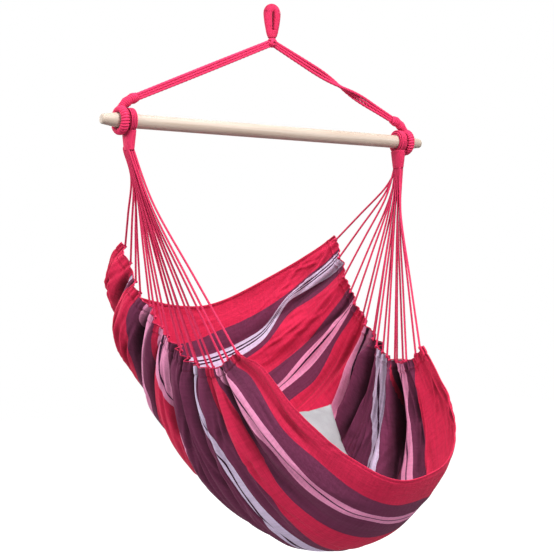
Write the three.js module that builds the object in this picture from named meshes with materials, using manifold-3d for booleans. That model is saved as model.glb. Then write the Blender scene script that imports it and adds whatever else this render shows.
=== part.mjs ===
// A hammock chair: a turned wooden bar held in wrapped rope eyes under a hanging loop, and a wide
// striped cloth seat slung from the bar on two fans of thin cords, with a cushion in its hollow.
// Millimetres, +Z up. The origin is the point inside the top of the hanging loop that a hook bears on.
// The chair faces -Y, and the bar runs along X.
import * as THREE from 'three';
import Module from 'manifold-3d';
import { mergeVertices } from 'three/addons/utils/BufferGeometryUtils.js';

const wasm = await Module();
wasm.setup();

// Sizes shared by the whole chair
const clearance = 0.3; // between pieces that touch on the real chair
const barDrop = 350; // from the hook's bearing point down to the bar's axis
const seatBelowBar = 1183; // from the bar's axis down to the lowest point of the cloth
const seatDrop = barDrop + seatBelowBar;

// Spreader bar
const barLength = 1110;
const barDiameter = 40;
const barTipDiameter = 28;
const barShoulderDiameter = 37;
const barTaperLength = 40;
const barEdgeRound = 5;
const barSides = 28;

// Hanging loop: a wrapped rope bent into a slim eye
const loopStrandDiameter = 24;
const loopSlotWidth = 8;
const loopSlotLength = 34;
const loopCrotch = 18; // from the foot of the slot to the top of the neck
const loopNeckTop = loopSlotLength + loopCrotch; // below the bearing point
const loopNeckDiameter = 35;
const loopNeckLength = 20;
const loopNeckRibs = 4;
const loopRibs = 26;
const loopRibDepth = 0.9;

// Throat: the round knot under the loop where the two legs of the bridle part
const throatDiameter = 28;

// Bridle: three strands a side, from the throat to an eye round the bar
const strandDiameter = 7;
const strandPitch = strandDiameter + 0.4;
const strandSpread = 2.6; // how far the strands drift apart at the middle of a leg
const strandSteps = 7;
const bridleEyeIn = 59; // from the end of the bar to the middle of the eye
const bridleEyeOut = barLength / 2 - bridleEyeIn;
const bridleEyeWidth = 26; // along the bar
const bridleEyeThickness = 21; // out from the bar
const bridleEyeRibs = 22;
const bridleEyeRibDepth = 1;
const bridleThroatIn = 51; // how far the throat of the eye leans towards the middle
const bridleThroatRise = 68; // from the bar's axis to the end of the throat
const bridleThroatDiameter = 20;
const bridleThroatEndDiameter = 25;
const bridleThroatRibs = 7;

// Cord eyes: the folded ends of the suspension cords, bound round the bar
const cordEyeWidth = 25;
const cordEyeThickness = 17;
const cordEyeSteps = 32;
const cordNeckLength = 46; // below the eye
const cordNeckTopWidth = 26;
const cordNeckEndWidth = 20;
const cordNeckDepthShare = 2.1; // it is an oval, this much deeper than it is wide
const cordNeckRibs = 6;
const cordNeckRibDepth = 0.7;
const hitchGap = 1; // between the neck of a cord eye and the bridle eye beside it
const cordEyeOut = bridleEyeOut - bridleEyeWidth / 2 - hitchGap - cordNeckTopWidth / 2;

// Suspension cords
const cordsPerSide = 18;
const cordDiameter = 5;
const cordPitch = cordDiameter + 1; // between neighbours where they leave the neck
const cordRows = 3;
const cordSteps = 6;
const bundleShare = 0.26; // how far down the cords still run as a bundle
const bundleSqueezeShare = 0.85; // how far apart they are there, against a straight fan

// Seat cloth, a rectangle of striped weave
const clothThickness = 2;
const seatHalfWidth = 380; // half the distance between the two back corners
const seatReach = 650; // from under the bar to the front lip
const seatDepth = 880; // from the back corners down to the lowest point
const cornerLift = 20; // the right back corner hangs this much higher than the middle of the two
const pleatDepth = 9; // of the small gathers at each cord
const pleatReach = 120; // how far the gathers run into the cloth
const foldDepth = 15; // of the main folds
const foldReach = 430;
const foldHeldShare = 0.6; // how much of a fold the gathers hold back at the hem
const foldCount = 6;
const scallopDepth = 9; // how far the hem drops between two cords
const hemCordDiameter = 4;

// Cushion
const cushionSide = 385;
const cushionThickness = 100;
const cushionLean = 0.86; // radians from lying flat
const cushionTurn = 0.07; // radians in its own plane, its right corner up
const cushionRight = 44; // how far its middle sits to the right of the chair's
const cushionForward = 86; // how far its middle sits in front of the bar
const squeezeShare = 0.2; // half of what the cloth squeezes off its width at the foot
const drawInShare = 0.07; // how far the sides draw in between the corners
const crownPower = 0.42; // a low power makes a full cushion with a steep rim
const cushionCells = 14;

const up = new THREE.Vector3(0, 0, 1);
const barAxis = new THREE.Vector3(0, 0, -barDrop);
const barRadius = barDiameter / 2;
const sides = [['left', -1], ['right', 1]];

const finish = (color, roughness) => new THREE.MeshStandardMaterial({ color, roughness, metalness: 0 });
const rope = finish('#cf2450', 0.9);
const wrap = finish('#d92a58', 0.85);
const weave = finish('#b02648', 0.95);
const wood = finish('#e9d3b6', 0.6);
const cotton = finish('#c9c7cb', 0.95);

const chair = new THREE.Group();

function add(name, geometry, material) {
  const mesh = new THREE.Mesh(geometry, material);
  mesh.name = name;
  chair.add(mesh);
  return mesh;
}

// Closed skins

// Joins rings of points into one skin: closed into a hoop, or capped at both ends
function skin(rings, hoop) {
  const count = rings[0].length;
  const points = rings.flat();
  const index = [];
  const last = hoop ? rings.length : rings.length - 1;
  for (let i = 0; i < last; i++) {
    const a = i * count;
    const b = ((i + 1) % rings.length) * count;
    for (let j = 0; j < count; j++) {
      const k = (j + 1) % count;
      index.push(a + j, a + k, b + k, a + j, b + k, b + j);
    }
  }
  if (!hoop) {
    const end = (rings.length - 1) * count;
    for (let j = 1; j < count - 1; j++) {
      index.push(0, j + 1, j, end, end + j, end + j + 1);
    }
  }
  return facingOut(points, index);
}

function facingOut(points, index) {
  let volume = 0;
  for (let i = 0; i < index.length; i += 3) {
    const [a, b, c] = [points[index[i]], points[index[i + 1]], points[index[i + 2]]];
    volume += a.dot(new THREE.Vector3().crossVectors(b, c));
  }
  if (volume < 0) index.reverse();
  const geometry = new THREE.BufferGeometry().setFromPoints(points);
  geometry.setIndex(index);
  geometry.computeVertexNormals();
  return geometry;
}

function solid(geometry) {
  const bare = geometry.clone();
  bare.deleteAttribute('normal');
  if (bare.attributes.uv) bare.deleteAttribute('uv');
  const merged = mergeVertices(bare, 1e-3);
  return new wasm.Manifold(new wasm.Mesh({
    numProp: 3,
    vertProperties: new Float32Array(merged.attributes.position.array),
    triVerts: new Uint32Array(merged.index.array),
  }));
}

function cut(geometry, cutter) {
  const mesh = solid(geometry).subtract(solid(cutter)).getMesh();
  const result = new THREE.BufferGeometry();
  result.setAttribute('position', new THREE.BufferAttribute(mesh.vertProperties, mesh.numProp));
  result.setIndex(new THREE.BufferAttribute(mesh.triVerts, 1));
  result.computeVertexNormals();
  return result;
}

// A round section swept along a curve
function tube(curve, radius, around, steps) {
  const section = new THREE.Shape();
  section.absarc(0, 0, radius, 0, 2 * Math.PI, false);
  return new THREE.ExtrudeGeometry(section, {
    steps, curveSegments: around / 2, extrudePath: curve, bevelEnabled: false,
  });
}

// A ring of points round a place on a curve, in the plane of two directions
function ring(centre, across, beside, acrossRadius, besideRadius, around) {
  return Array.from({ length: around }, (_, j) => {
    const angle = (2 * Math.PI * j) / around;
    return centre.clone()
      .addScaledVector(across, acrossRadius * Math.cos(angle))
      .addScaledVector(beside, besideRadius * Math.sin(angle));
  });
}

// A wrapped rope lying in a vertical plane along X: each turn of the wrapping is one rib
function wrappedRope(curve, radiusAt, ribs, ribDepth, around) {
  const rings = [];
  const across = new THREE.Vector3(0, 1, 0);
  for (let i = 0; i <= 2 * ribs; i++) {
    const share = i / (2 * ribs);
    const tangent = curve.getTangentAt(share);
    const beside = new THREE.Vector3().crossVectors(tangent, across).normalize();
    const radius = radiusAt(share) - (i % 2 ? 0 : ribDepth);
    rings.push(ring(curve.getPointAt(share), across, beside, radius, radius, around));
  }
  return skin(rings, false);
}

// An eye round the bar, thick along X by its width and out from the bar by its thickness
function eye(out, width, thickness, steps, ribDepth, grow) {
  const middle = barRadius + clearance + thickness / 2;
  const centre = barAxis.clone().setX(out);
  const along = new THREE.Vector3(1, 0, 0);
  const rings = [];
  for (let i = 0; i < steps; i++) {
    const angle = (2 * Math.PI * i) / steps;
    const outward = new THREE.Vector3(0, Math.sin(angle), Math.cos(angle));
    const groove = i % 2 ? ribDepth : 0;
    const place = centre.clone().addScaledVector(outward, middle);
    rings.push(ring(place, along, outward, width / 2 - groove + grow, thickness / 2 - groove + grow, 10));
  }
  return skin(rings, true);
}

// Spreader bar

function spreaderBar() {
  const half = barLength / 2;
  const shoulder = half - barTaperLength;
  const tip = barTipDiameter / 2;
  const profile = [
    [0, half], [tip - barEdgeRound, half], [tip - barEdgeRound / 3, half - barEdgeRound / 3],
    [tip, half - barEdgeRound], [barShoulderDiameter / 2, shoulder + barEdgeRound],
    [barRadius, shoulder - barEdgeRound],
  ].map(([radius, along]) => new THREE.Vector2(radius, along));
  const other = profile.map((p) => new THREE.Vector2(p.x, -p.y));
  const geometry = new THREE.LatheGeometry([...other, ...profile.reverse()], barSides);
  geometry.rotateZ(-Math.PI / 2);
  geometry.translate(0, 0, -barDrop);
  add('spreader_bar', geometry, wood);
}

// Hanging loop and its neck

function hangingLoop() {
  const radius = loopStrandDiameter / 2;
  const arc = loopSlotWidth / 2 + radius;
  const arcCentre = -loopSlotWidth / 2;
  const foot = radius + clearance;
  const leg = (side) => [
    new THREE.Vector3(side * foot, 0, -loopNeckTop),
    new THREE.Vector3(side * foot, 0, -loopNeckTop + radius / 2),
    new THREE.Vector3(side * arc, 0, -loopSlotLength + radius / 2),
  ];
  const bow = Array.from({ length: 9 }, (_, i) => {
    const angle = Math.PI * (1 - i / 8);
    return new THREE.Vector3(arc * Math.cos(angle), 0, arcCentre + arc * Math.sin(angle));
  });
  const curve = new THREE.CatmullRomCurve3([...leg(-1), ...bow, ...leg(1).reverse()]);
  add('hanging_loop', wrappedRope(curve, () => radius, loopRibs, loopRibDepth, 10), wrap);
}

const neckBottom = loopNeckTop + clearance + loopNeckLength;

// A whipping is turned: each turn of its cord stands out as a round rib
function whipping(topRadius, bottomRadius, length, ribs, ribDepth) {
  const profile = [new THREE.Vector2(0, -length)];
  for (let i = 0; i <= 2 * ribs; i++) {
    const share = i / (2 * ribs);
    const radius = THREE.MathUtils.lerp(bottomRadius, topRadius, share) - (i % 2 ? 0 : ribDepth);
    profile.push(new THREE.Vector2(radius, -length * (1 - share)));
  }
  profile.push(new THREE.Vector2(0, 0));
  const geometry = new THREE.LatheGeometry(profile, 20);
  geometry.rotateX(Math.PI / 2);
  return geometry;
}

function loopNeck() {
  const radius = loopNeckDiameter / 2;
  const [top, end] = [radius + loopRibDepth, radius - loopRibDepth];
  const geometry = whipping(top, end, loopNeckLength, loopNeckRibs, loopRibDepth);
  geometry.translate(0, 0, -loopNeckTop - clearance);
  add('loop_neck', geometry, wrap);
}

// Throat knot: a ball, so that the bridle can rock and turn under the neck

const throatRadius = throatDiameter / 2;
const throat = new THREE.Vector3(0, 0, -neckBottom - clearance - throatRadius);

function throatKnot() {
  const geometry = new THREE.SphereGeometry(throatRadius, 18, 10);
  geometry.rotateX(Math.PI / 2);
  geometry.translate(throat.x, throat.y, throat.z);
  add('throat_knot', geometry, wrap);
}

// Bridle

const legDirection = (side) => legFoot(side).sub(throat).normalize();

function legFoot(side) {
  return barAxis.clone().add(new THREE.Vector3(side * (bridleEyeOut - bridleThroatIn), 0, bridleThroatRise));
}

// The strands lie beside each other as a flat band; on the right leg the band makes half a turn
function bridleStrand(side, place, twist) {
  const direction = legDirection(side);
  const start = throat.clone().addScaledVector(direction, throatRadius + clearance);
  const end = legFoot(side).addScaledVector(direction, -clearance);
  const lift = new THREE.Vector3().crossVectors(direction, new THREE.Vector3(0, side, 0)).normalize();
  const points = [];
  for (let i = 0; i <= strandSteps; i++) {
    const share = i / strandSteps;
    const offset = place * (strandPitch + strandSpread * Math.sin(Math.PI * share));
    const angle = twist * share;
    points.push(start.clone().lerp(end, share)
      .addScaledVector(lift, offset * Math.cos(angle))
      .addScaledVector(new THREE.Vector3(0, 1, 0), offset * Math.sin(angle)));
  }
  return tube(new THREE.CatmullRomCurve3(points), strandDiameter / 2, 8, strandSteps);
}

function bridleThroat(side) {
  const eyeTop = barRadius + clearance + bridleEyeThickness;
  const curve = new THREE.CatmullRomCurve3([
    new THREE.Vector3(side * bridleEyeOut, 0, -barDrop + eyeTop - bridleEyeThickness / 2),
    new THREE.Vector3(side * (bridleEyeOut - bridleThroatIn / 6), 0, -barDrop + eyeTop + clearance),
    legFoot(side).addScaledVector(legDirection(side), bridleThroatIn / 2),
    legFoot(side),
  ]);
  const radiusAt = (share) => THREE.MathUtils.lerp(bridleThroatDiameter, bridleThroatEndDiameter, share) / 2;
  const whole = wrappedRope(curve, radiusAt, bridleThroatRibs, bridleEyeRibDepth, 12);
  const cutter = eye(side * bridleEyeOut, bridleEyeWidth, bridleEyeThickness, 2 * bridleEyeRibs, 0, clearance);
  return cut(whole, cutter);
}

function bridle() {
  for (const [name, side] of sides) {
    const twist = side > 0 ? Math.PI : 0;
    for (const place of [-1, 0, 1]) {
      add(`${name}_bridle_strand_${place + 2}`, bridleStrand(side, place, twist), rope);
    }
    add(`${name}_bridle_throat`, bridleThroat(side), wrap);
    const ribs = 2 * bridleEyeRibs;
    add(`${name}_bridle_eye`, eye(side * bridleEyeOut, bridleEyeWidth, bridleEyeThickness, ribs,
      bridleEyeRibDepth, 0), wrap);
  }
}

// Cord eyes and their necks

const cordEyeRadius = barRadius + clearance + cordEyeThickness;
const cordNeckEnd = -barDrop - cordEyeRadius - cordNeckLength;

function cordEye(side) {
  return eye(side * cordEyeOut, cordEyeWidth, cordEyeThickness, cordEyeSteps, 0, 0);
}

function cordNeck(side) {
  const length = cordNeckLength + cordEyeThickness / 2;
  const [top, end] = [cordNeckTopWidth / 2, cordNeckEndWidth / 2];
  const whole = whipping(top, end, length, cordNeckRibs, cordNeckRibDepth);
  whole.scale(1, cordNeckDepthShare, 1);
  whole.translate(side * cordEyeOut, 0, cordNeckEnd + length);
  return cut(whole, eye(side * cordEyeOut, cordEyeWidth, cordEyeThickness, cordEyeSteps, 0, clearance));
}

// Seat cloth

// Shares across the cloth, at even steps from its back edge to its front one. Back and height are
// shares of the reach and the depth of the seat; out is a share of its half width.
const edgeOutShares = [1, 0.987, 0.96, 0.93, 0.895, 0.868, 0.842, 0.816];
const edgeBackShares = [0.338, 0.215, 0.092, -0.031, -0.138, -0.246, -0.369, -0.477];
const edgeHeightShares = [1, 0.855, 0.744, 0.662, 0.61, 0.58, 0.587, 0.636];
const middleBackShares = [0.67, 0.669, 0.554, 0.308, -0.031, -0.385, -0.723, -0.969];
const middleHeightShares = [0.762, 0.523, 0.295, 0.125, 0.023, 0, 0.062, 0.255];
// How square the cross curve is, 1 for a V and 2 for a half round, and how far its wall bulges
const leftSquareShares = [1.85, 1.72, 1.65, 1.65, 1.7, 1.78, 1.75, 1.55];
const rightSquareShares = [1.25, 1.5, 1.65, 1.7, 1.75, 1.92, 2.25, 2.35];
const leftBulgeShares = [0.13, 0.22, 0.11, 0.05, 0.03, 0.026, 0.026, 0.01];
const rightBulgeShares = [0, 0.026, 0.053, 0.03, 0.03, 0.04, 0.05, 0.03];
const liftShares = [1, 0.33, 0, 0, 0, 0, 0, 0];
const crownShare = 0.4; // how broadly the bottom of the curve is rounded

// Reads a table at a place from 0 to 1 along a smooth curve through its shares
function read(shares, place) {
  const span = shares.length - 1;
  const i = Math.min(Math.floor(place * span), span - 1);
  const x = place * span - i;
  const at = (k) => shares[THREE.MathUtils.clamp(k, 0, span)];
  const [a, b, c, d] = [at(i - 1), at(i), at(i + 1), at(i + 2)];
  return b + 0.5 * x * (c - a + x * (2 * a - 5 * b + 4 * c - d + x * (3 * (b - c) + d - a)));
}

// One stripe of the weave, from the left cord edge down through the seat and up to the right one
class Stripe extends THREE.Curve {
  constructor(place) {
    super();
    this.arcLengthDivisions = 400;
    const bottom = seatDepth - seatDrop;
    this.out = seatHalfWidth * read(edgeOutShares, place);
    this.back = seatReach * read(edgeBackShares, place);
    this.height = -seatDrop + seatDepth * read(edgeHeightShares, place);
    this.middleBack = seatReach * read(middleBackShares, place);
    this.middleHeight = bottom - seatDepth + seatDepth * read(middleHeightShares, place);
    this.square = [read(leftSquareShares, place), read(rightSquareShares, place)];
    this.bulge = [read(leftBulgeShares, place), read(rightBulgeShares, place)].map((b) => b * seatHalfWidth);
    this.lift = cornerLift * read(liftShares, place);
  }

  getPoint(share, target = new THREE.Vector3()) {
    const angle = (share - 0.5) * Math.PI;
    const right = THREE.MathUtils.smoothstep(share, 0.25, 0.75);
    const power = 2 / THREE.MathUtils.lerp(this.square[0], this.square[1], right);
    const bulge = THREE.MathUtils.lerp(this.bulge[0], this.bulge[1], right);
    const sine = Math.sin(angle);
    const rounded = (sine * sine + crownShare ** 2) / (1 + crownShare ** 2);
    const out = sine * Math.pow(rounded, (power - 1) / 2);
    const drop = Math.pow(Math.max(Math.cos(angle), 0), power);
    return target.set(
      (this.out + bulge * Math.sin(2 * Math.abs(angle))) * out,
      THREE.MathUtils.lerp(this.back, this.middleBack, drop),
      THREE.MathUtils.lerp(this.height, this.middleHeight, drop) + this.lift * out,
    );
  }
}

const stripes = new Map();

function stripe(place) {
  const key = THREE.MathUtils.clamp(place, 0, 1).toFixed(6);
  if (!stripes.has(key)) stripes.set(key, new Stripe(Number(key)));
  return stripes.get(key);
}

// A direction into the hollow, square to the smooth cloth
function intoHollow(along, across) {
  const step = 1e-3;
  const limit = (v) => THREE.MathUtils.clamp(v, step, 1 - step);
  const point = (a, b) => stripe(b).getPointAt(limit(a));
  const alongWay = point(limit(along) + step, across).sub(point(limit(along) - step, across));
  const acrossWay = point(along, limit(across) + step).sub(point(along, limit(across) - step));
  return new THREE.Vector3().crossVectors(acrossWay, alongWay).normalize();
}

const fade = (distance, reach) => 1 - THREE.MathUtils.smoothstep(distance, 0, reach);

// How far the cloth stands into the hollow: gathers at the cords, and the folds that run on below them
function foldIn(distance, across) {
  const gather = Math.cos(2 * Math.PI * cordsPerSide * across) * fade(distance, pleatReach);
  const fold = Math.cos(2 * Math.PI * foldCount * across) * fade(distance, foldReach);
  const rise = 1 - foldHeldShare * fade(distance, pleatReach);
  return -pleatDepth * gather + foldDepth * fold * rise;
}

// A point of the cloth: along its stripes, across them, and offset into the hollow
function clothPoint(along, across, offset) {
  const length = stripe(across).getLength();
  const distance = Math.min(along, 1 - along) * length;
  const slack = 0.5 + 0.5 * Math.cos(2 * Math.PI * cordsPerSide * across);
  const shift = (scallopDepth * slack * fade(distance, pleatReach)) / length;
  const place = along < 0.5 ? along + shift : along - shift;
  const normal = intoHollow(place, across);
  return stripe(across).getPointAt(place).addScaledVector(normal, foldIn(distance, across) + offset);
}

// Distances in from the cord edges at which the cloth has a row of points, as shares of half a stripe
const rowShares = [0, 0.045, 0.12, 0.23, 0.38, 0.56, 0.78, 1];
const rows = [...rowShares.map((v) => v / 2), ...rowShares.slice(0, -1).map((v) => 1 - v / 2).reverse()];
const columns = Array.from({ length: 2 * cordsPerSide + 1 }, (_, i) => i / (2 * cordsPerSide));

function seatCloth() {
  const rings = columns.map((across) => {
    const outer = rows.map((along) => clothPoint(along, across, clothThickness / 2));
    const inner = rows.map((along) => clothPoint(along, across, -clothThickness / 2));
    return [...outer, ...inner.reverse()];
  });
  return sheetSkin(rings);
}

// Like skin, with end caps that follow the thin section of the cloth, and with the faces of its two
// sides split alike, so that it is as thick in a fold as elsewhere
function sheetSkin(rings) {
  const count = rings[0].length;
  const index = [];
  for (let i = 0; i < rings.length - 1; i++) {
    for (let j = 0; j < count; j++) {
      const [a, b] = [i * count, (i + 1) * count];
      const k = (j + 1) % count;
      if (j < count / 2) index.push(a + j, a + k, b + k, a + j, b + k, b + j);
      else index.push(a + j, a + k, b + j, a + k, b + k, b + j);
    }
  }
  const end = (rings.length - 1) * count;
  for (let j = 0; j < count / 2 - 1; j++) {
    const [k, l, m] = [j + 1, count - 2 - j, count - 1 - j];
    index.push(j, l, k, j, m, l, end + j, end + k, end + l, end + j, end + l, end + m);
  }
  return facingOut(rings.flat(), index);
}

// Hem cord: a thin cord along each gathered edge, which the suspension cords hold

const hemReach = clearance + hemCordDiameter / 2;

// The hem cord clears the slanted edge on both sides of a point by the same distance
function hemPoint(side, across) {
  const [edge, inside] = side < 0 ? [0, 1e-3] : [1, 1 - 1e-3];
  const corner = clothPoint(edge, across, 0);
  const upward = corner.clone().sub(clothPoint(inside, across, 0)).normalize();
  const column = 0.5 / cordsPerSide;
  const square = [across - column, across + column].filter((v) => v >= 0 && v <= 1).map((v) => {
    const edgeWay = clothPoint(edge, v, 0).sub(corner).normalize();
    return edgeWay.cross(upward).length();
  });
  return corner.addScaledVector(upward, hemReach / Math.min(...square));
}

function hemCord(side) {
  const points = columns.map((across) => hemPoint(side, across));
  const rings = points.map((point, i) => {
    const before = points[Math.max(i - 1, 0)];
    const after = points[Math.min(i + 1, points.length - 1)];
    const tangent = after.clone().sub(before).normalize();
    const beside = new THREE.Vector3().crossVectors(tangent, up).normalize();
    const over = new THREE.Vector3().crossVectors(beside, tangent);
    return ring(point, beside, over, hemCordDiameter / 2, hemCordDiameter / 2, 6);
  });
  return skin(rings, false);
}

// Suspension cords

// Where a cord leaves the neck: the cords lie in rows, in the order of their places on the hem
function cordTop(side, number) {
  const row = (cordRows - 1) / 2 - (number % cordRows);
  const last = cordsPerSide - 1;
  const back = ((last / 2 - number) * cordPitch) / cordRows;
  return new THREE.Vector3(side * (cordEyeOut + row * cordPitch), back, cordNeckEnd - clearance);
}

// Where a cord coming from a point ends just clear of the hem cord
function cordFoot(side, across, from) {
  const foot = hemPoint(side, across);
  const cordWay = from.clone().sub(foot).normalize();
  const column = 0.5 / cordsPerSide;
  const leans = [across - column, across + column].map((v) => {
    return hemPoint(side, v).sub(foot).normalize().dot(cordWay);
  });
  const along = Math.max(0, ...leans);
  const reach = hemCordDiameter / 2 + clearance + (cordDiameter / 2) * along;
  return foot.addScaledVector(cordWay, reach / Math.sqrt(1 - along * along));
}

function suspensionCord(side, number) {
  const across = (number + 0.5) / cordsPerSide;
  const top = cordTop(side, number);
  const hem = hemPoint(side, across);
  const middleTop = new THREE.Vector3(side * cordEyeOut, 0, top.z);
  const middle = middleTop.lerp(hemPoint(side, 0.5), bundleShare);
  const waist = top.clone().lerp(hem, bundleShare);
  waist.lerp(middle, 1 - bundleSqueezeShare).setZ(THREE.MathUtils.lerp(top.z, hem.z, bundleShare));
  const foot = cordFoot(side, across, waist);
  const lean = waist.clone().sub(top).normalize();
  top.z -= (cordDiameter / 2) * Math.sqrt(1 - lean.z * lean.z);
  const curve = new THREE.CatmullRomCurve3([top, waist, waist.clone().lerp(foot, 0.5), foot]);
  return tube(curve, cordDiameter / 2, 8, cordSteps);
}

function seat() {
  for (const [name, side] of sides) {
    add(`${name}_cord_eye`, cordEye(side), rope);
    add(`${name}_cord_neck`, cordNeck(side), wrap);
    add(`${name}_hem_cord`, hemCord(side), rope);
    for (let number = 0; number < cordsPerSide; number++) {
      const label = String(number + 1).padStart(2, '0');
      add(`${name}_cord_${label}`, suspensionCord(side, number), rope);
    }
  }
  return add('seat_cloth', seatCloth(), weave);
}

// Cushion: crowned, with sides that draw in between its corners

function cushionPoint(u, v, face) {
  const edge = Math.max(1 - u * u, 0) * Math.max(1 - v * v, 0);
  const half = cushionSide / 2;
  return new THREE.Vector3(
    half * u * (1 - drawInShare * (1 - v * v)) * (1 + squeezeShare * (v - 1)),
    half * v * (1 - drawInShare * (1 - u * u)),
    face * (cushionThickness / 2) * Math.pow(edge, crownPower),
  );
}

function cushionShape() {
  const points = [];
  const index = [];
  const cells = cushionCells;
  const ids = new Map();
  const id = (i, j, face) => {
    const rim = i === 0 || j === 0 || i === cells || j === cells;
    const key = `${i},${j},${rim ? 0 : face}`;
    if (!ids.has(key)) {
      ids.set(key, points.length);
      const share = (k) => Math.sin((Math.PI / 2) * ((2 * k) / cells - 1));
      points.push(cushionPoint(share(i), share(j), face));
    }
    return ids.get(key);
  };
  for (const face of [1, -1]) {
    for (let i = 0; i < cells; i++) {
      for (let j = 0; j < cells; j++) {
        const quad = [id(i, j, face), id(i + 1, j, face), id(i + 1, j + 1, face), id(i, j + 1, face)];
        if (face < 0) quad.reverse();
        index.push(quad[0], quad[1], quad[2], quad[0], quad[2], quad[3]);
      }
    }
  }
  return facingOut(points, index);
}

// The least height of the points of one mesh over the faces of another, looking straight down
function leastHeight(points, faces) {
  let least = Infinity;
  const ray = new THREE.Raycaster();
  ray.far = seatDrop;
  for (const point of points) {
    ray.set(point, up.clone().negate());
    const hit = ray.intersectObject(faces)[0];
    if (hit) least = Math.min(least, hit.distance);
  }
  return least;
}

function meshPoints(geometry) {
  const place = geometry.attributes.position;
  return Array.from({ length: place.count }, (_, i) => new THREE.Vector3().fromBufferAttribute(place, i));
}

// The cushion leans back in the hollow, let down until it bears on the cloth
function seatCushion(cloth) {
  const geometry = cushionShape();
  geometry.rotateZ(cushionTurn);
  geometry.rotateX(cushionLean);
  geometry.translate(cushionRight, -cushionForward, barAxis.z);
  cloth.material.side = THREE.DoubleSide;
  const drop = leastHeight(meshPoints(geometry), cloth);
  geometry.translate(0, 0, -drop + 2 * clearance);
  add('seat_cushion', geometry, cotton);
  return geometry;
}

spreaderBar();
hangingLoop();
loopNeck();
throatKnot();
bridle();
const cloth = seat();
seatCushion(cloth);

export default chair;
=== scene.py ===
# %% [markdown]
# A hammock chair, dressed for a photograph. A turned wooden bar hangs in wrapped rope eyes from one
# loop, and a wide striped cloth hangs from the bar on two fans of thin cords, with a cushion in its
# hollow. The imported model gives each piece's place in metres, and this script gives each its cloth,
# rope, wood and light.

# %% Load the frame
import math

import bpy
import numpy as np
from mathutils import Matrix, Vector


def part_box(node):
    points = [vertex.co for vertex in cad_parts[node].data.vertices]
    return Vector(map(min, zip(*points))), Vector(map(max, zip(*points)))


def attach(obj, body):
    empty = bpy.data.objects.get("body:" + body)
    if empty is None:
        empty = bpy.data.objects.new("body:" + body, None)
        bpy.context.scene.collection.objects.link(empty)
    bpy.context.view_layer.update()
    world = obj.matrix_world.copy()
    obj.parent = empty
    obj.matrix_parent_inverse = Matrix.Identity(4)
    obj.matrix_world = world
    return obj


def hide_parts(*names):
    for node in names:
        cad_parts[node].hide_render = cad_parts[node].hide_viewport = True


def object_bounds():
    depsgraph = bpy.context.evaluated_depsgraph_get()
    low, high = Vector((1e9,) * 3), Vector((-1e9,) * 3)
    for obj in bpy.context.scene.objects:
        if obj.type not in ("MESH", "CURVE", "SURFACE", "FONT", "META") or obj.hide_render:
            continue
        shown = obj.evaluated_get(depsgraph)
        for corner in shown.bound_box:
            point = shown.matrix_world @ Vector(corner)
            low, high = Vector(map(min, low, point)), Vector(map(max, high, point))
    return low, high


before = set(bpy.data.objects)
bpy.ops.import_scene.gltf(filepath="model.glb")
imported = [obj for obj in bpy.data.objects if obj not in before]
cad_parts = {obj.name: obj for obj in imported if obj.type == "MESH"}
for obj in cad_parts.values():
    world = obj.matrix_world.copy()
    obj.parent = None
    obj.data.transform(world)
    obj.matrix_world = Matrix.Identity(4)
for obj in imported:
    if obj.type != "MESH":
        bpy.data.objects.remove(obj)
cad_box = [list(corner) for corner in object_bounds()]
MM = 0.001
print("the chair is", [round(high - low, 3) for low, high in zip(*cad_box)], "metres")

# %% [markdown]
# Colours are written as sRGB hex, as a paint chart gives them, and turned to the linear values that
# Blender works in. One helper adds a node with its settings and its links, and the others here add the
# few groups of nodes that every material is built from.

# %% Colour, nodes and meshes
def linear(text):
    shares = [int(text[k:k + 2], 16) / 255 for k in (1, 3, 5)]
    return [s / 12.92 if s <= 0.04045 else ((s + 0.055) / 1.055) ** 2.4 for s in shares] + [1]


def add(tree, kind, inputs=None, **settings):
    node = tree.nodes.new(kind)
    for name, value in settings.items():
        setattr(node, name, value)
    for name, value in (inputs or {}).items():
        if isinstance(value, bpy.types.NodeSocket):
            tree.links.new(value, node.inputs[name])
        else:
            node.inputs[name].default_value = value
    return node


def start_material(name):
    material = bpy.data.materials.new(name)
    material.use_nodes = True
    material.node_tree.nodes.clear()
    return material, material.node_tree


def close_material(tree, shader):
    add(tree, "ShaderNodeOutputMaterial", {"Surface": shader.outputs[0]})


def calc(tree, operation, *values):
    return add(tree, "ShaderNodeMath", dict(enumerate(values)), operation=operation).outputs[0]


# Adds each part times its weight to the starting value
def weighed_sum(tree, total, *parts):
    for value, weight in parts:
        total = calc(tree, "MULTIPLY_ADD", value, weight, total)
    return total


def mix_colours(tree, share, low, high, blend="MIX"):
    return add(tree, "ShaderNodeMix", {"Factor": share, "A": low, "B": high},
               data_type="RGBA", blend_type=blend).outputs["Result"]


def tone_ramp(tree, share, *stops):
    ramp = add(tree, "ShaderNodeValToRGB", {"Fac": share})
    for element, (place, colour) in zip(ramp.color_ramp.elements, stops):
        element.position = place
        element.color = linear(colour)
    return ramp.outputs[0]


def noise(tree, vector, scale, detail, **more):
    inputs = {"Vector": vector, "Scale": scale, "Detail": detail, **more}
    return add(tree, "ShaderNodeTexNoise", inputs).outputs[0]


# Noise drawn out into streaks, with a scale for each axis
def streaks(tree, vector, scales, detail, **more):
    stretched = add(tree, "ShaderNodeMapping", {"Vector": vector, "Scale": scales}).outputs[0]
    return noise(tree, stretched, 1.0, detail, **more)


def relief(tree, height, strength, depth, **more):
    inputs = {"Height": height, "Strength": strength, "Distance": depth, **more}
    return add(tree, "ShaderNodeBump", inputs).outputs[0]


# Painted shade: the colour darkens where a surface is shut in, in folds, grooves and between parts
def painted_crease_shade(tree, colour, reach, strength):
    open_share = add(tree, "ShaderNodeAmbientOcclusion", {"Distance": reach}, samples=6).outputs["AO"]
    return mix_colours(tree, 1.0, colour, calc(tree, "POWER", open_share, strength), "MULTIPLY")


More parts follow.
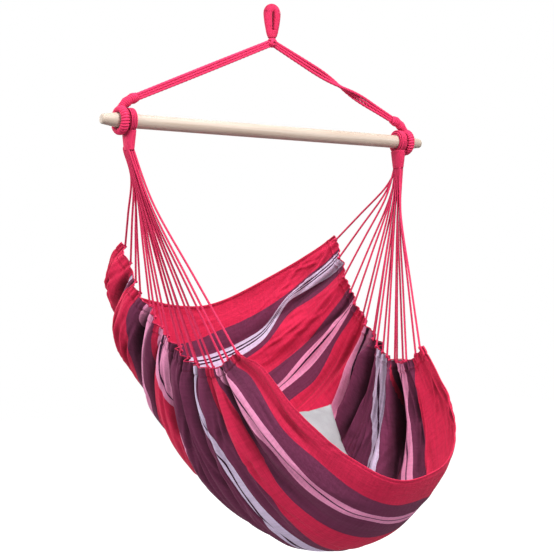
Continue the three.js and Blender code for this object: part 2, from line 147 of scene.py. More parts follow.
# Cotton is matt, and its fuzz shows as sheen
def close_cotton(tree, colour, normal, roughness, specular, fuzz, fuzz_roughness, fuzz_colour="#ffffff"):
    close_material(tree, add(tree, "ShaderNodeBsdfPrincipled", {
        "Base Color": colour, "Normal": normal, "Roughness": roughness, "Specular IOR Level": specular,
        "Sheen Weight": fuzz, "Sheen Roughness": fuzz_roughness, "Sheen Tint": linear(fuzz_colour)}))


def make_object(name, points, faces, material, uv=None):
    mesh = bpy.data.meshes.new(name)
    mesh.from_pydata(np.asarray(points).tolist(), [], faces)
    mesh.materials.append(material)
    mesh.shade_smooth()
    if uv is not None:
        layer = mesh.uv_layers.new(name="cut")
        corners = np.empty(len(mesh.loops), dtype=np.int32)
        mesh.loops.foreach_get("vertex_index", corners)
        layer.data.foreach_set("uv", np.asarray(uv)[corners].ravel())
    mesh.update()
    piece = bpy.data.objects.new(name, mesh)
    bpy.context.collection.objects.link(piece)
    return piece


def place(piece, body, slot, *nodes):
    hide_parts(*nodes)
    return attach(piece, body)


# %% [markdown]
# The camera stands to the left of the chair's front at about the height of the seat's upper edge, four
# metres away with a long lens, so the bar runs down to the right in the picture.


# %% Camera
SENSOR_WIDTH = 36
CAMERA_TURN = math.radians(33)
CAMERA_DISTANCE = 4.1
CAMERA_HEIGHT = -0.843
FRAME_PIXELS = 554
FOCAL_PIXELS = 1399
AXIS_COLUMN = 272
HORIZON_ROW = 300


def make_camera():
    data = bpy.data.cameras.new("camera")
    data.sensor_width = SENSOR_WIDTH
    data.lens = SENSOR_WIDTH * FOCAL_PIXELS / FRAME_PIXELS
    camera = bpy.data.objects.new("camera", data)
    bpy.context.collection.objects.link(camera)
    middle = FRAME_PIXELS / 2
    yaw = CAMERA_TURN - math.atan((AXIS_COLUMN - middle) / FOCAL_PIXELS)
    pitch = math.atan((HORIZON_ROW - middle) / FOCAL_PIXELS)
    camera.rotation_euler = (math.pi / 2 + pitch, 0, -yaw)
    camera.location = (-CAMERA_DISTANCE * math.sin(CAMERA_TURN),
                       -CAMERA_DISTANCE * math.cos(CAMERA_TURN), CAMERA_HEIGHT)
    bpy.context.scene.camera = camera
    print("camera at", [round(v, 3) for v in camera.location])


make_camera()

# %% [markdown]
# A product shot like this one is lit from all around by white walls, which are the world's colour. Four
# soft lamps tell the sides apart: the key in front, one above, a fill at the left and one behind. The
# camera sees the walls as pure white, which Light Path's camera ray gives without adding light to the
# chair. The floor glows only for the camera, so it meets the wall without a line but shows a faint shadow.

# %% Room and lights
WHITE, BLACK = (1, 1, 1, 1), (0, 0, 0, 1)
FLOOR_REACH, FLOOR_DROP, FLOOR_GLOW = 9, 0.45, 0.9
LIGHT_TARGET = (0, 0, -0.95)
# Each lamp: its place and width in metres, and its power in watts
LAMPS = {
    "key": ((0.2, -3.4, 1.9), 1.2, 200),
    "ceiling": ((0.3, -0.4, 2.4), 2.4, 65),
    "fill": ((-3.4, -0.4, 0.9), 1.6, 95),
    "back wall": ((-1.4, 3.4, 0.4), 2.6, 80),
}


def make_world():
    world = bpy.data.worlds.new("white studio")
    bpy.context.scene.world = world
    world.use_nodes = True
    tree = world.node_tree
    tree.nodes.clear()
    path = add(tree, "ShaderNodeLightPath")
    seen = calc(tree, "MAXIMUM", path.outputs["Is Camera Ray"], path.outputs["Is Glossy Ray"])
    lit = add(tree, "ShaderNodeBackground", {"Color": linear("#f4f5f8"), "Strength": 0.32})
    white = add(tree, "ShaderNodeBackground", {"Color": WHITE, "Strength": 1})
    mixed = add(tree, "ShaderNodeMixShader", {0: seen, 1: lit.outputs[0], 2: white.outputs[0]})
    add(tree, "ShaderNodeOutputWorld", {"Surface": mixed.outputs[0]})


def make_floor():
    material, tree = start_material("white floor paint")
    seen = add(tree, "ShaderNodeLightPath").outputs["Is Camera Ray"]
    paint = add(tree, "ShaderNodeBsdfDiffuse", {"Color": linear("#a4a4a6")})
    glow = add(tree, "ShaderNodeEmission", {"Color": WHITE, "Strength": FLOOR_GLOW})
    bright = add(tree, "ShaderNodeAddShader", {0: paint.outputs[0], 1: glow.outputs[0]})
    mixed = add(tree, "ShaderNodeMixShader", {0: seen, 1: paint.outputs[0], 2: bright.outputs[0]})
    close_material(tree, mixed)
    height = cad_box[0][2] - FLOOR_DROP
    corners = [(FLOOR_REACH * x, FLOOR_REACH * y, height) for x, y in ((-1, -1), (1, -1), (1, 1), (-1, 1))]
    make_object("floor", corners, [(0, 1, 2, 3)], material)


def make_lamp(name, spot, width, power):
    data = bpy.data.lights.new(name, "AREA")
    data.shape = "DISK"
    data.size = width
    data.energy = power
    lamp = bpy.data.objects.new(name, data)
    lamp.location = spot
    lamp.rotation_euler = (Vector(LIGHT_TARGET) - Vector(spot)).to_track_quat("-Z", "Y").to_euler()
    bpy.context.collection.objects.link(lamp)


make_world()
make_floor()
for name, settings in LAMPS.items():
    make_lamp(name, *settings)
bpy.context.scene.view_settings.view_transform = "Standard"
print("lights", list(LAMPS))

# %% [markdown]
# The seat is heavy plain-woven cotton. Its stripes run from the left cords, down through the seat and up
# to the right cords: broad red ones, plum ones, and between them bands of pink or lilac that are split
# by single dark threads. The stripes are woven in, so they follow the cut of the cloth, which the mesh
# carries as a UV map in metres: U along the stripes and V across them.

# %% Stripes, as the loom made them
CLOTH_LENGTH = 1.30
CLOTH_WIDTH = 1.46
RED, PLUM, PINK, LILAC, DARK = "#d3234c", "#6e2c4c", "#ea93ba", "#d9c6e2", "#3b1632"
# Each woven band: its width in centimetres, its colour, and how many dark threads split it
WOVEN = [
    (12, RED, 0), (5, PLUM, 0), (5, LILAC, 3), (5, PLUM, 0), (11, RED, 0), (5, PLUM, 0), (5.5, PINK, 1),
    (5, PLUM, 0), (11, RED, 0), (5.5, PINK, 1), (24, PLUM, 0), (5, LILAC, 2), (6, PLUM, 0), (11, RED, 0),
    (5, PLUM, 0), (5.5, PINK, 1), (5.5, PLUM, 0), (14, RED, 0),
]
woven_total = sum(width for width, colour, threads in WOVEN)
EDGES = np.cumsum([width for width, colour, threads in WOVEN])[:-1] / woven_total
THREAD_HALF_SHARE = 0.0011
print(len(WOVEN), "bands, with edges at", EDGES.round(3))

# Both ramps are lists of steps, each a place across the cloth and the colour that holds from there on
stripe_steps = []
thread_steps = [(0, BLACK)]
for start, (width, colour, threads) in zip([0, *EDGES], WOVEN):
    stripe_steps.append((start, linear(colour)))
    for k in range(threads):
        middle = start + (k + 1) / (threads + 1) * width / woven_total
        thread_steps += [(middle - THREAD_HALF_SHARE, WHITE), (middle + THREAD_HALF_SHARE, BLACK)]


def stepped_ramp(tree, place_across, steps):
    ramp = add(tree, "ShaderNodeValToRGB", {"Fac": place_across})
    elements = ramp.color_ramp.elements
    ramp.color_ramp.interpolation = "CONSTANT"
    elements.remove(elements[1])
    elements[0].color = steps[0][1]
    for place, colour in steps[1:]:
        elements.new(place).color = colour
    return ramp.outputs["Color"]


# %% [markdown]
# Cotton cloth is matt with a faint fuzz, so it gets a high roughness and a little sheen. The threads of
# a cloth like this lie about 1 mm apart, which no picture of a whole chair can show, so they are drawn
# 2.4 mm apart, as a shallow bump and as slight streaks of colour along both sets of threads.


# %% Striped cotton
THREAD_SPACING = 2.4 * MM
THREAD_WOBBLE = 1.6 * MM
HEM_WIDTH = 25 * MM
LIP_HEM_WIDTH = 11 * MM
STITCH_PITCH, STITCH_HALF_WIDTH, STITCH_GAP_SHARE = 4 * MM, 1.1 * MM, 0.3


# A dashed row of stitching beside each of two opposite edges, as 1 on a stitch and 0 elsewhere
def stitch_rows(tree, place, along_row, length, inset):
    from_low = calc(tree, "ABSOLUTE", calc(tree, "SUBTRACT", place, inset))
    from_high = calc(tree, "ABSOLUTE", calc(tree, "SUBTRACT", length - inset, place))
    row = calc(tree, "LESS_THAN", calc(tree, "MINIMUM", from_low, from_high), STITCH_HALF_WIDTH)
    step = calc(tree, "FRACT", calc(tree, "DIVIDE", along_row, STITCH_PITCH))
    return calc(tree, "MULTIPLY", row, calc(tree, "GREATER_THAN", step, STITCH_GAP_SHARE))


def striped_cotton():
    material, tree = start_material("striped cotton")
    uv = add(tree, "ShaderNodeUVMap", uv_map="cut").outputs[0]
    parts = add(tree, "ShaderNodeSeparateXYZ", {0: uv})
    along, across = parts.outputs[0], parts.outputs[1]
    centred = calc(tree, "SUBTRACT", across, THREAD_WOBBLE / 2)
    shifted = weighed_sum(tree, centred, (noise(tree, uv, 60.0, 2.0), THREAD_WOBBLE))
    share = calc(tree, "DIVIDE", shifted, CLOTH_WIDTH)
    stripes = stepped_ramp(tree, share, stripe_steps)
    banded = mix_colours(tree, stepped_ramp(tree, share, thread_steps), stripes, linear(DARK))
    # Streaks of light and dark along each set of threads
    warp = streaks(tree, uv, (7.0, 190.0, 1.0), 3.0)
    weft = streaks(tree, uv, (150.0, 12.0, 1.0), 2.0)
    light = weighed_sum(tree, 0.5, (warp, 0.46), (weft, 0.38), (noise(tree, uv, 5.0, 3.0), 0.16))
    coloured = mix_colours(tree, 1.0, banded, light, "MULTIPLY")
    # Stitching along the gathered hems and the long hems
    gathered = stitch_rows(tree, along, across, CLOTH_LENGTH, HEM_WIDTH - 3 * MM)
    lips = stitch_rows(tree, across, along, CLOTH_WIDTH, LIP_HEM_WIDTH - 2 * MM)
    stitch = calc(tree, "MAXIMUM", gathered, lips)
    sewn = mix_colours(tree, calc(tree, "MULTIPLY", stitch, 0.55), coloured, linear("#8d1c3c"))
    # Plain weave: two waves at right angles
    turns = 2 * math.pi / THREAD_SPACING
    waves = [calc(tree, "SINE", calc(tree, "MULTIPLY", way, turns)) for way in (along, across)]
    height = weighed_sum(tree, calc(tree, "MULTIPLY", *waves), (weft, 2.0), (warp, 2.0), (stitch, 3.0))
    crinkled = relief(tree, noise(tree, uv, 95.0, 3.0), 0.8, 3.0 * MM)
    woven = relief(tree, height, 0.35, 0.4 * MM, Normal=crinkled)
    # The cloth's colour carries painted shade, darker in its folds and creases
    close_cotton(tree, painted_crease_shade(tree, sewn, 70 * MM, 1.5), woven, roughness=0.86, specular=0.25,
                 fuzz=0.05, fuzz_roughness=0.4, fuzz_colour="#f0b0c0")
    return material


cotton_stripes = striped_cotton()
print("made", cotton_stripes.name)

# %% [markdown]
# All the cord is one soft twisted cotton, dyed a bright pink red. It takes the light like the cloth, a
# little livelier, with darker dye in patches and between its fibres, and with shade painted into its
# colour in its grooves. The same yarn, wound tightly, makes the whippings.

# %% Cord and whipping
YARN = 0.9 * MM


def cotton_cord(name, colour, dark_colour):
    material, tree = start_material(name)
    spot = add(tree, "ShaderNodeTexCoord").outputs["Object"]
    fibres = noise(tree, spot, 1 / (2 * YARN), 3.0)
    shade = weighed_sum(tree, 0, (noise(tree, spot, 14.0, 2.0), 0.5), (fibres, 0.9))
    tone = tone_ramp(tree, shade, (0.4, dark_colour), (0.72, colour))
    # The cord's colour carries painted shade, darker in the grooves between its strands
    close_cotton(tree, painted_crease_shade(tree, tone, 9 * MM, 0.5), relief(tree, fibres, 0.4, 0.5 * MM),
                 roughness=0.8, specular=0.3, fuzz=0.15, fuzz_roughness=0.4, fuzz_colour="#ffb8c8")
    return material


cord_cotton = cotton_cord("twisted cotton cord", "#df2f5f", "#c6264f")
whip_cotton = cotton_cord("cotton whipping", "#df2f5f", "#c2244c")
print("made", cord_cotton.name, "and", whip_cotton.name)

# %% [markdown]
# The bar is pale turned wood, sanded and oiled so thinly that it stays nearly white. Its grain runs
# along the bar as fine streaks some 2 mm wide, and its tapered tips are a little darker.

# %% Turned wood
TIP_START = 511.5 * MM


def turned_wood():
    material, tree = start_material("turned pine, lightly oiled")
    spot = add(tree, "ShaderNodeTexCoord").outputs["Object"]
    grain = streaks(tree, spot, (6.0, 190.0, 190.0), 5.0)
    bands = streaks(tree, spot, (1.6, 60.0, 60.0), 2.0, Distortion=0.6)
    shade = weighed_sum(tree, 0, (bands, 0.55), (grain, 0.45))
    tone = tone_ramp(tree, shade, (0.34, "#ae9b8a"), (0.62, "#c0b1a4"))
    from_middle = calc(tree, "ABSOLUTE", add(tree, "ShaderNodeSeparateXYZ", {0: spot}).outputs[0])
    tip = calc(tree, "MULTIPLY", calc(tree, "GREATER_THAN", from_middle, TIP_START), 0.8)
    close_material(tree, add(tree, "ShaderNodeBsdfPrincipled", {
        "Base Color": mix_colours(tree, tip, tone, linear("#b09f8f")), "Roughness": 0.55, "IOR": 1.5,
        "Normal": relief(tree, grain, 0.12, 0.15 * MM)}))
    return material


pale_wood = turned_wood()
print("made", pale_wood.name)

# %% [markdown]
# The cushion's cover is undyed cotton, greyish white, a plain weave much finer than the seat's.

# %% Cushion cotton
def cushion_cotton():
    material, tree = start_material("undyed cotton cover")
    spot = add(tree, "ShaderNodeTexCoord").outputs["Object"]
    threads = noise(tree, spot, 620.0, 2.0)
    shade = weighed_sum(tree, 0, (threads, 0.3), (noise(tree, spot, 9.0, 3.0), 0.7))
    tone = tone_ramp(tree, shade, (0.3, "#8e8d90"), (0.7, "#afb1b4"))
    # The cover's colour carries painted shade, darker where it is shut in
    close_cotton(tree, painted_crease_shade(tree, tone, 60 * MM, 0.8), relief(tree, threads, 0.3, 0.4 * MM),
                 roughness=0.9, specular=0.2, fuzz=0.1, fuzz_roughness=0.5)
    return material


undyed_cotton = cushion_cotton()
print("made", undyed_cotton.name)

# %% [markdown]
# The sizes of the chair, in metres, as it hangs. The hook bears at the origin.

# %% Sizes
BAR_DROP = 350 * MM
SEAT_DROP = 1533 * MM
CLEARANCE = 0.3 * MM
CORDS = 18
CORD_DIAMETER = 6.8 * MM
CORD_PITCH = 6 * MM
CORD_ROWS = 3
HEM_CORD_DIAMETER = 4 * MM
BAR_RADIUS = 20 * MM
BRIDLE_EYE_OUT = 496 * MM
CORD_EYE_OUT = 469 * MM
CORD_EYE_THICKNESS = 17 * MM
NECK_LENGTH = 46 * MM
NECK_END = -BAR_DROP - BAR_RADIUS - CLEARANCE - CORD_EYE_THICKNESS - NECK_LENGTH
SIDES = [("left", -1), ("right", 1)]

# %% [markdown]
# The hung cloth is one smooth surface. Each stripe is a curve that leaves the left hem, runs down and
# round under the sitter and climbs to the right hem, and tables of shares say how far out, back and
# down it lies at eight steps from the back edge to the front one. A smooth curve through each table
# gives every stripe between.

# %% The smooth seat
HALF_WIDTH, REACH, DEPTH, CORNER_LIFT = 0.380, 0.650, 0.880, 0.020
edge_out_shares = [1, 0.987, 0.96, 0.93, 0.895, 0.868, 0.842, 0.816]
edge_back_shares = [0.338, 0.215, 0.092, -0.031, -0.138, -0.246, -0.369, -0.477]
edge_height_shares = [1, 0.855, 0.744, 0.662, 0.61, 0.58, 0.587, 0.636]
middle_back_shares = [0.67, 0.669, 0.554, 0.308, -0.031, -0.385, -0.723, -0.969]
middle_height_shares = [0.762, 0.523, 0.295, 0.125, 0.023, 0, 0.062, 0.255]
left_square_shares = [1.85, 1.72, 1.65, 1.65, 1.7, 1.78, 1.75, 1.55]
right_square_shares = [1.25, 1.5, 1.65, 1.7, 1.75, 1.92, 2.25, 2.35]
left_bulge_shares = [0.13, 0.22, 0.11, 0.05, 0.03, 0.026, 0.026, 0.01]
right_bulge_shares = [0, 0.026, 0.053, 0.03, 0.03, 0.04, 0.05, 0.03]
lift_shares = [1, 0.33, 0, 0, 0, 0, 0, 0]
CROWN_SHARE = 0.4


# A smooth curve through a table of shares, read at a place from 0 to 1
def read(shares, place):
    table = np.array(shares, float)
    span = len(table) - 1
    i = np.minimum(np.floor(np.asarray(place) * span), span - 1).astype(int)
    x = np.asarray(place) * span - i
    a, b, c, d = (table[np.clip(i + k, 0, span)] for k in (-1, 0, 1, 2))
    return b + 0.5 * x * (c - a + x * (2 * a - 5 * b + 4 * c - d + x * (3 * (b - c) + d - a)))


def read_between(low_shares, high_shares, place, amount):
    return read(low_shares, place) * (1 - amount) + read(high_shares, place) * amount


def smooth(x, low, high):
    t = np.clip((x - low) / (high - low), 0, 1)
    return t * t * (3 - 2 * t)


def fade(distance, reach):
    return 1 - smooth(distance, 0, reach)


def unit(vectors):
    return vectors / np.linalg.norm(vectors, axis=-1, keepdims=True)


def walked_along(line):
    return np.concatenate([[0], np.cumsum(np.linalg.norm(np.diff(line, axis=0), axis=1))])


def points_at(line, walked, wanted):
    return np.stack([np.interp(wanted, walked, line[:, k]) for k in range(3)], -1)


def stripe_line(place, share):
    angle = (share - 0.5) * np.pi
    right = smooth(share, 0.25, 0.75)
    power = 2 / read_between(left_square_shares, right_square_shares, place, right)
    bulge = read_between(left_bulge_shares, right_bulge_shares, place, right)
    sine = np.sin(angle)
    out = sine * ((sine ** 2 + CROWN_SHARE ** 2) / (1 + CROWN_SHARE ** 2)) ** ((power - 1) / 2)
    drop = np.maximum(np.cos(angle), 0) ** power
    half = read(edge_out_shares, place) + bulge * np.sin(2 * np.abs(angle))
    back = read_between(edge_back_shares, middle_back_shares, place, drop)
    height = read_between(edge_height_shares, middle_height_shares, place, drop)
    lift = CORNER_LIFT * read(lift_shares, place) * out
    return np.stack([HALF_WIDTH * half * out, REACH * back, -SEAT_DROP + DEPTH * height + lift], -1)


# %% [markdown]
# Where the cords pull the hems together, the cloth stands in pleats, and broader folds run on from them
# down into the seat. They aren't even: each has its own place, depth and width, on the left side and
# on the right. Between two cords the hem sags a little, and fine creases lie over everything.


# %% Pleats, folds and creases
PLEAT_DEPTH, PLEAT_REACH, SCALLOP_DEPTH = 5 * MM, 130 * MM, 4 * MM
FOLD_REACH = 800 * MM
CRIMP_DEPTH, CRIMP_REACH, CRIMP_WANDER = 2.4 * MM, 62 * MM, 14
# Places across and along the cloth are in percent of its width and length, and heights in mm
PERCENT = 0.01
# Each fold: its place across, how far it stands out, and its half width there
LEFT_FOLDS = [
    (4.5, 11, 3), (12.2, -44, 1.3), (18, 12, 3), (27.5, -40, 1.4), (32.5, 14, 2), (37.2, -24, 1),
    (42, 14, 3), (48.2, -42, 1.4), (53, 12, 2), (57.5, -26, 1.2), (61.2, 12, 2), (64.5, -46, 1.2),
    (67.5, 12, 1.2), (72, 14, 2.5), (76.8, -18, 1.2), (80, 12, 2), (86.8, -32, 1.2), (91, 10, 2.5),
    (95.5, -12, 1),
]
RIGHT_FOLDS = [
    (4.5, 9, 2), (10.2, 22, 1), (14, -10, 2), (19.2, 14, 1), (23.5, -8, 2), (31, 16, 2.2),
    (35.5, -12, 1.8), (48.7, 44, 1.6), (52.8, -16, 1.4), (58, -6, 2), (61.5, 8, 1), (65.2, -8, 1.6),
    (71.3, 64, 2.1), (77.5, -10, 1.6), (82.5, 12, 1.2), (87, -8, 2), (93, 10, 3),
]
# Each lap folds the cloth over itself: its place, how far it laps and stands, its half width
LEFT_LAPS = [(12.5, -20, 14, 1.6), (28.5, -16, 12, 1.6), (49, 18, 14, 1.8), (60, 14, 12, 1.6)]
RIGHT_LAPS = [(44, 18, -46, 2.4), (69.5, -24, -42, -2.6)]
# Unevenness all over: cells across and along, seed, slant, height, and how much more it is at a hem
UNEVENNESS = [(40, 6, 11, 0, 1.5, 4), (22, 14, 12, 0.12, 4.2, 0), (110, 50, 13, 0, 0.9, 0)]
UNEVENNESS_REACH = 320 * MM
# Fine creases near the hems and in the seat: how many, then the lowest and highest start from the hem and
# length in metres, the spread of their slant, and the lowest and highest depth
FINE_CREASES = [
    (110, (0.015, 0.22), (0.10, 0.36), 0.16, (1.4, 4.2)),
    (60, (0.195, 0.65), (0.07, 0.22), 0.55, (0.8, 2.2)),
]
# Drag folds that stand out from the rest: both ends along and across, width and depth
DRAG_FOLDS = [
    (2, 3, 16, 10, 10, 9), (5, 1, 20, 7.5, 8, 7), (10, 0.5, 27, 5, 9, 6), (3, 8, 22, 5.5, 8, 6),
    (4, 17, 34, 20, 10, 7), (5, 24, 30, 22.5, 8, 6), (4, 45, 40, 52, 11, 8), (6, 55, 42, 57, 10, 8),
    (5, 70, 45, 74, 10, 7), (4, 78, 40, 83, 9, 6), (5, 90, 45, 93, 9, 6), (30, 66, 62, 70, 12, 5),
    (45, 80, 75, 77, 12, 5), (60, 90, 86, 84, 12, 5), (72, 74, 92, 66, 11, 6), (98, 3, 80, 8, 9, 7),
    (97, 12, 70, 17, 11, 7), (97, 20, 72, 24, 10, 6), (96, 29, 66, 33, 12, 8), (96, 50, 70, 52, 10, 5),
    (97, 57, 72, 59, 9, 5), (97, 80, 74, 82, 9, 5), (97, 94, 76, 96.5, 10, 6), (90, 99, 70, 93, 9, 5),
]
DRAG_BEND = 0.04
# The grooves of the stitching: depth and half width
LIP_GROOVE, LIP_GROOVE_WIDTH, PUCKER_PITCH = 1.7 * MM, 3.2 * MM, 9 * MM
HEM_GROOVE, HEM_GROOVE_WIDTH = 2.6 * MM, 3.8 * MM
# How far the lips wave and roll, and how far in from the edge
LIP_WAVE, LIP_WAVE_REACH, LIP_ROLL, LIP_ROLL_REACH = 4 * MM, 90 * MM, 3.5 * MM, 16 * MM


def spline_weights(t):
    return [(1 - t) ** 3 / 6, (3 * t ** 3 - 6 * t ** 2 + 4) / 6,
            (-3 * t ** 3 + 3 * t ** 2 + 3 * t + 1) / 6, t ** 3 / 6]


# A smooth random surface over (u, v), with a set number of cells each way
def creases(u, v, cells_u, cells_v, seed):
    grid = np.random.default_rng(seed).uniform(-1, 1, (cells_u + 4, cells_v + 4))
    x, y = u * cells_u, v * cells_v
    i = np.clip(np.floor(x), 0, cells_u - 1).astype(int)
    j = np.clip(np.floor(y), 0, cells_v - 1).astype(int)
    total = np.zeros(np.broadcast(u, v).shape)
    for a, weight_u in enumerate(spline_weights(x - i)):
        for b, weight_v in enumerate(spline_weights(y - j)):
            total += weight_u * weight_v * grid[i + a, j + b]
    return total


# The same along one line
def uneven(place, cells, seed):
    return creases(place, 0 * place, cells, 1, seed)


# A crease is a valley between two ridges along a line from start to end, which are (u, v) in metres
def crease_line(u, v, start, end, width, depth, bend):
    reach_u, reach_v = end[0] - start[0], end[1] - start[1]
    length = math.hypot(reach_u, reach_v)
    walked = ((u - start[0]) * reach_u + (v - start[1]) * reach_v) / length ** 2
    beside = ((v - start[1]) * reach_u - (u - start[0]) * reach_v) / length
    x = (beside + bend * length * np.sin(np.pi * np.clip(walked, 0, 1))) / width
    taper = smooth(walked, -0.05, 0.35) * (1 - smooth(walked, 0.6, 1.05))
    return depth * taper * (0.5 * np.exp(-(x - 1.7) ** 2) + 0.5 * np.exp(-(x + 1.7) ** 2) - np.exp(-x ** 2))


def fold_out(distance, across, side_share):
    gather = (2 * np.abs(np.cos(np.pi * CORDS * across)) - 1) * (1 + 0.35 * uneven(across, 15, 4))
    crimp = np.cos(2 * np.pi * 3 * CORDS * across + CRIMP_WANDER * uneven(across, 12, 3))
    held = 1 - 0.55 * fade(distance, 0.7 * PLEAT_REACH)
    total = (PLEAT_DEPTH * gather * fade(distance, PLEAT_REACH)
             + CRIMP_DEPTH * crimp * fade(distance, CRIMP_REACH))
    for folds, side in ((LEFT_FOLDS, 1 - side_share), (RIGHT_FOLDS, side_share)):
        for place, depth, width in np.array(folds) * (PERCENT, MM, PERCENT):
            wander = place + 0.010 * np.sin(6 * distance / FOLD_REACH + 40 * place)
            spread = width * (1 + 0.9 * distance / FOLD_REACH)
            bell = 1 / (1 + ((across - wander) / spread) ** 2) ** 1.6
            total = total + depth * bell * fade(distance, FOLD_REACH) * held * side
    return total


# How far the laps carry the cloth along its own width, and how far they stand out
def lap_over(distance, across, side_share):
    beside, out = 0, 0
    for laps, side in ((LEFT_LAPS, 1 - side_share), (RIGHT_LAPS, side_share)):
        for place, lap, stand, width in np.array(laps) * (PERCENT, MM, MM, PERCENT):
            t = (across - place) / (width * (1 + 0.6 * distance / FOLD_REACH))
            ridge, valley = np.exp(-(t - 0.75) ** 2), np.exp(-(t + 0.75) ** 2)
            amount = fade(distance, 0.7 * FOLD_REACH) * (1 - 0.7 * fade(distance, 70 * MM)) * side
            beside = beside + amount * lap * (0.5 * valley - ridge)
            out = out + amount * stand * (ridge - 0.8 * valley)
    return beside, out


def wrinkle_out(along, across, distance):
    u, v = along * CLOTH_LENGTH, across * CLOTH_WIDTH
    total = 0
    for cells_across, cells_along, seed, slant, height, more in UNEVENNESS:
        slanted = np.clip(across + slant * along, 0, 1)
        height = (height + more * fade(distance, UNEVENNESS_REACH)) * MM
        total = total + creases(slanted, along, cells_across, cells_along, seed) * height
    draw = np.random.default_rng(17)
    for count, starts, lengths, slants, depths in FINE_CREASES:
        for k in range(count):
            side = -1 if k % 2 else 1
            u0 = draw.uniform(*starts)
            u0 = u0 if side < 0 else CLOTH_LENGTH - u0
            v0 = draw.uniform(0.01, 0.99) * CLOTH_WIDTH
            length = draw.uniform(*lengths)
            slant = draw.normal(0, slants)
            end = (u0 - side * length * math.cos(slant), v0 + length * math.sin(slant))
            width, depth = draw.uniform(5, 11) * MM, draw.uniform(*depths) * MM
            total = total + crease_line(u, v, (u0, v0), end, width, depth, draw.uniform(-0.08, 0.08))
    for *places, width, depth in DRAG_FOLDS:
        u0, v0, u1, v1 = PERCENT * np.array(places) * ([CLOTH_LENGTH, CLOTH_WIDTH] * 2)
        total = total + crease_line(u, v, (u0, v0), (u1, v1), width * MM, depth * MM, DRAG_BEND)
    return total


# Stitching draws the hems in: a groove along each row of it, puckered every few stitches
def seam_out(distance, edge, along):
    pucker = 1 + 0.5 * np.sin(2 * np.pi * along * CLOTH_LENGTH / PUCKER_PITCH)
    lip = LIP_GROOVE * pucker * np.exp(-((edge - LIP_HEM_WIDTH) / LIP_GROOVE_WIDTH) ** 2)
    gathered = HEM_GROOVE * np.exp(-((distance - HEM_WIDTH) / HEM_GROOVE_WIDTH) ** 2)
    wave = LIP_WAVE * uneven(along, 26, 31) * fade(edge, LIP_WAVE_REACH)
    return wave - lip - gathered - LIP_ROLL * fade(edge, LIP_ROLL_REACH)


# %% [markdown]
# The weave slides and bunches in its gathers, so the stripes don't keep even widths on the hung cloth:
# some narrow to nothing where a pleat swallows them. This table says where each stripe's edge lies,
# across the hung cloth, at stations along it. The cut's V coordinate is read from it.


# %% Where the stripes lie
STATIONS = [0, 0.05, 0.10, 0.20, 0.30, 0.45, 0.58, 0.66, 0.72, 0.80, 0.90, 1]
edge_place_shares = [
    [.112, .118, .130, .138, .205, .235, .300, .335, .345, .440, .655, .690, .735, .800, .820, .870, .930],
    [.115, .118, .122, .125, .200, .235, .305, .350, .358, .455, .662, .682, .745, .843, .855, .912, .955],
    [.120, .123, .127, .130, .225, .296, .304, .372, .408, .452, .672, .695, .760, .847, .868, .918, .953],
    [.120, .124, .130, .134, .250, .300, .345, .355, .500, .515, .715, .742, .800, .848, .893, .922, .942],
    [.110, .125, .140, .150, .235, .275, .315, .340, .475, .510, .715, .750, .800, .842, .892, .915, .947],
    [.090, .115, .140, .150, .215, .250, .285, .315, .450, .490, .700, .765, .790, .865, .910, .922, .943],
    [.066, .110, .140, .150, .205, .240, .270, .300, .410, .460, .680, .735, .775, .860, .882, .903, .930],
    [.067, .108, .135, .145, .202, .240, .260, .294, .400, .460, .667, .705, .745, .815, .838, .865, .897],
    [.068, .106, .128, .138, .200, .240, .256, .290, .392, .462, .640, .668, .728, .738, .760, .800, .850],
    [.068, .072, .080, .100, .195, .215, .255, .295, .385, .465, .615, .660, .712, .715, .733, .790, .835],
    [.058, .062, .085, .108, .178, .210, .245, .258, .352, .400, .560, .635, .690, .692, .716, .780, .840],
    [.052, .058, .096, .106, .168, .216, .240, .262, .340, .400, .525, .600, .672, .675, .730, .810, .890],
]


def cut_across(along, across):
    fine = np.linspace(-0.2, 1.2, 701)
    bell = np.exp(-(np.linspace(-1.5, 1.5, 41)) ** 2)
    eased = []
    for edge_places in zip(*edge_place_shares):
        drawn = np.interp(fine, STATIONS, edge_places)
        eased.append(np.interp(along, fine, np.convolve(drawn, bell / bell.sum(), "same")))
    flat = [0, *EDGES, 1]
    return np.stack([np.interp(across, [0, *places, 1], flat) for places in zip(*eased)], -1)


# %% [markdown]
# The cloth is built as one grid of quads with the pleats and folds pushed out along its own normals,
# and then given its thickness. The four hems are folded over, so they stand a little thicker, with a
# step where the fold ends. The arrays have a row for each place across the stripes, and a column for
# each place along them.


# %% Seat cloth
CLOTH_THICKNESS, HEM_STEP, HEM_SWELL = 1.6 * MM, 1.5 * MM, 0.8
COLUMNS = CORDS * 24 + 1
ROWS = 401
RAGGED_HEM = 7 * MM
# The front lip is pulled up on its left half: its rise in mm at every tenth of its length
lip_rises = [0, 44, 26, 14, 12, 0, 0, 0, 0, 0, 0]
LIP_RISE_START = 0.91


def hung_grid():
    even = np.linspace(0, 1, ROWS)[None, :]
    along = even - 0.35 * np.sin(2 * np.pi * even) / (2 * np.pi)
    across = np.linspace(0, 1, COLUMNS)[:, None]
    lines = [stripe_line(place, np.linspace(0, 1, 1201)) for place in across[:, 0]]
    walks = [walked_along(line) for line in lines]
    lengths = np.array([walked[-1:] for walked in walks])
    distance = np.minimum(along, 1 - along) * lengths
    slack = 0.5 + 0.5 * np.cos(2 * np.pi * CORDS * across)
    ragged = RAGGED_HEM * np.maximum(0.4 + uneven(across, 12, 7), 0)
    shift = (SCALLOP_DEPTH * slack + ragged) * fade(distance, PLEAT_REACH)
    wanted = along * lengths + np.where(along < 0.5, 1, -1) * shift
    points = np.stack([points_at(*stripe) for stripe in zip(lines, walks, wanted)])
    points[..., 2] += read(lip_rises, along) * MM * smooth(across, LIP_RISE_START, 1)
    return along, across, distance, points


def outward(points):
    return unit(np.cross(np.gradient(points, axis=1), np.gradient(points, axis=0)))


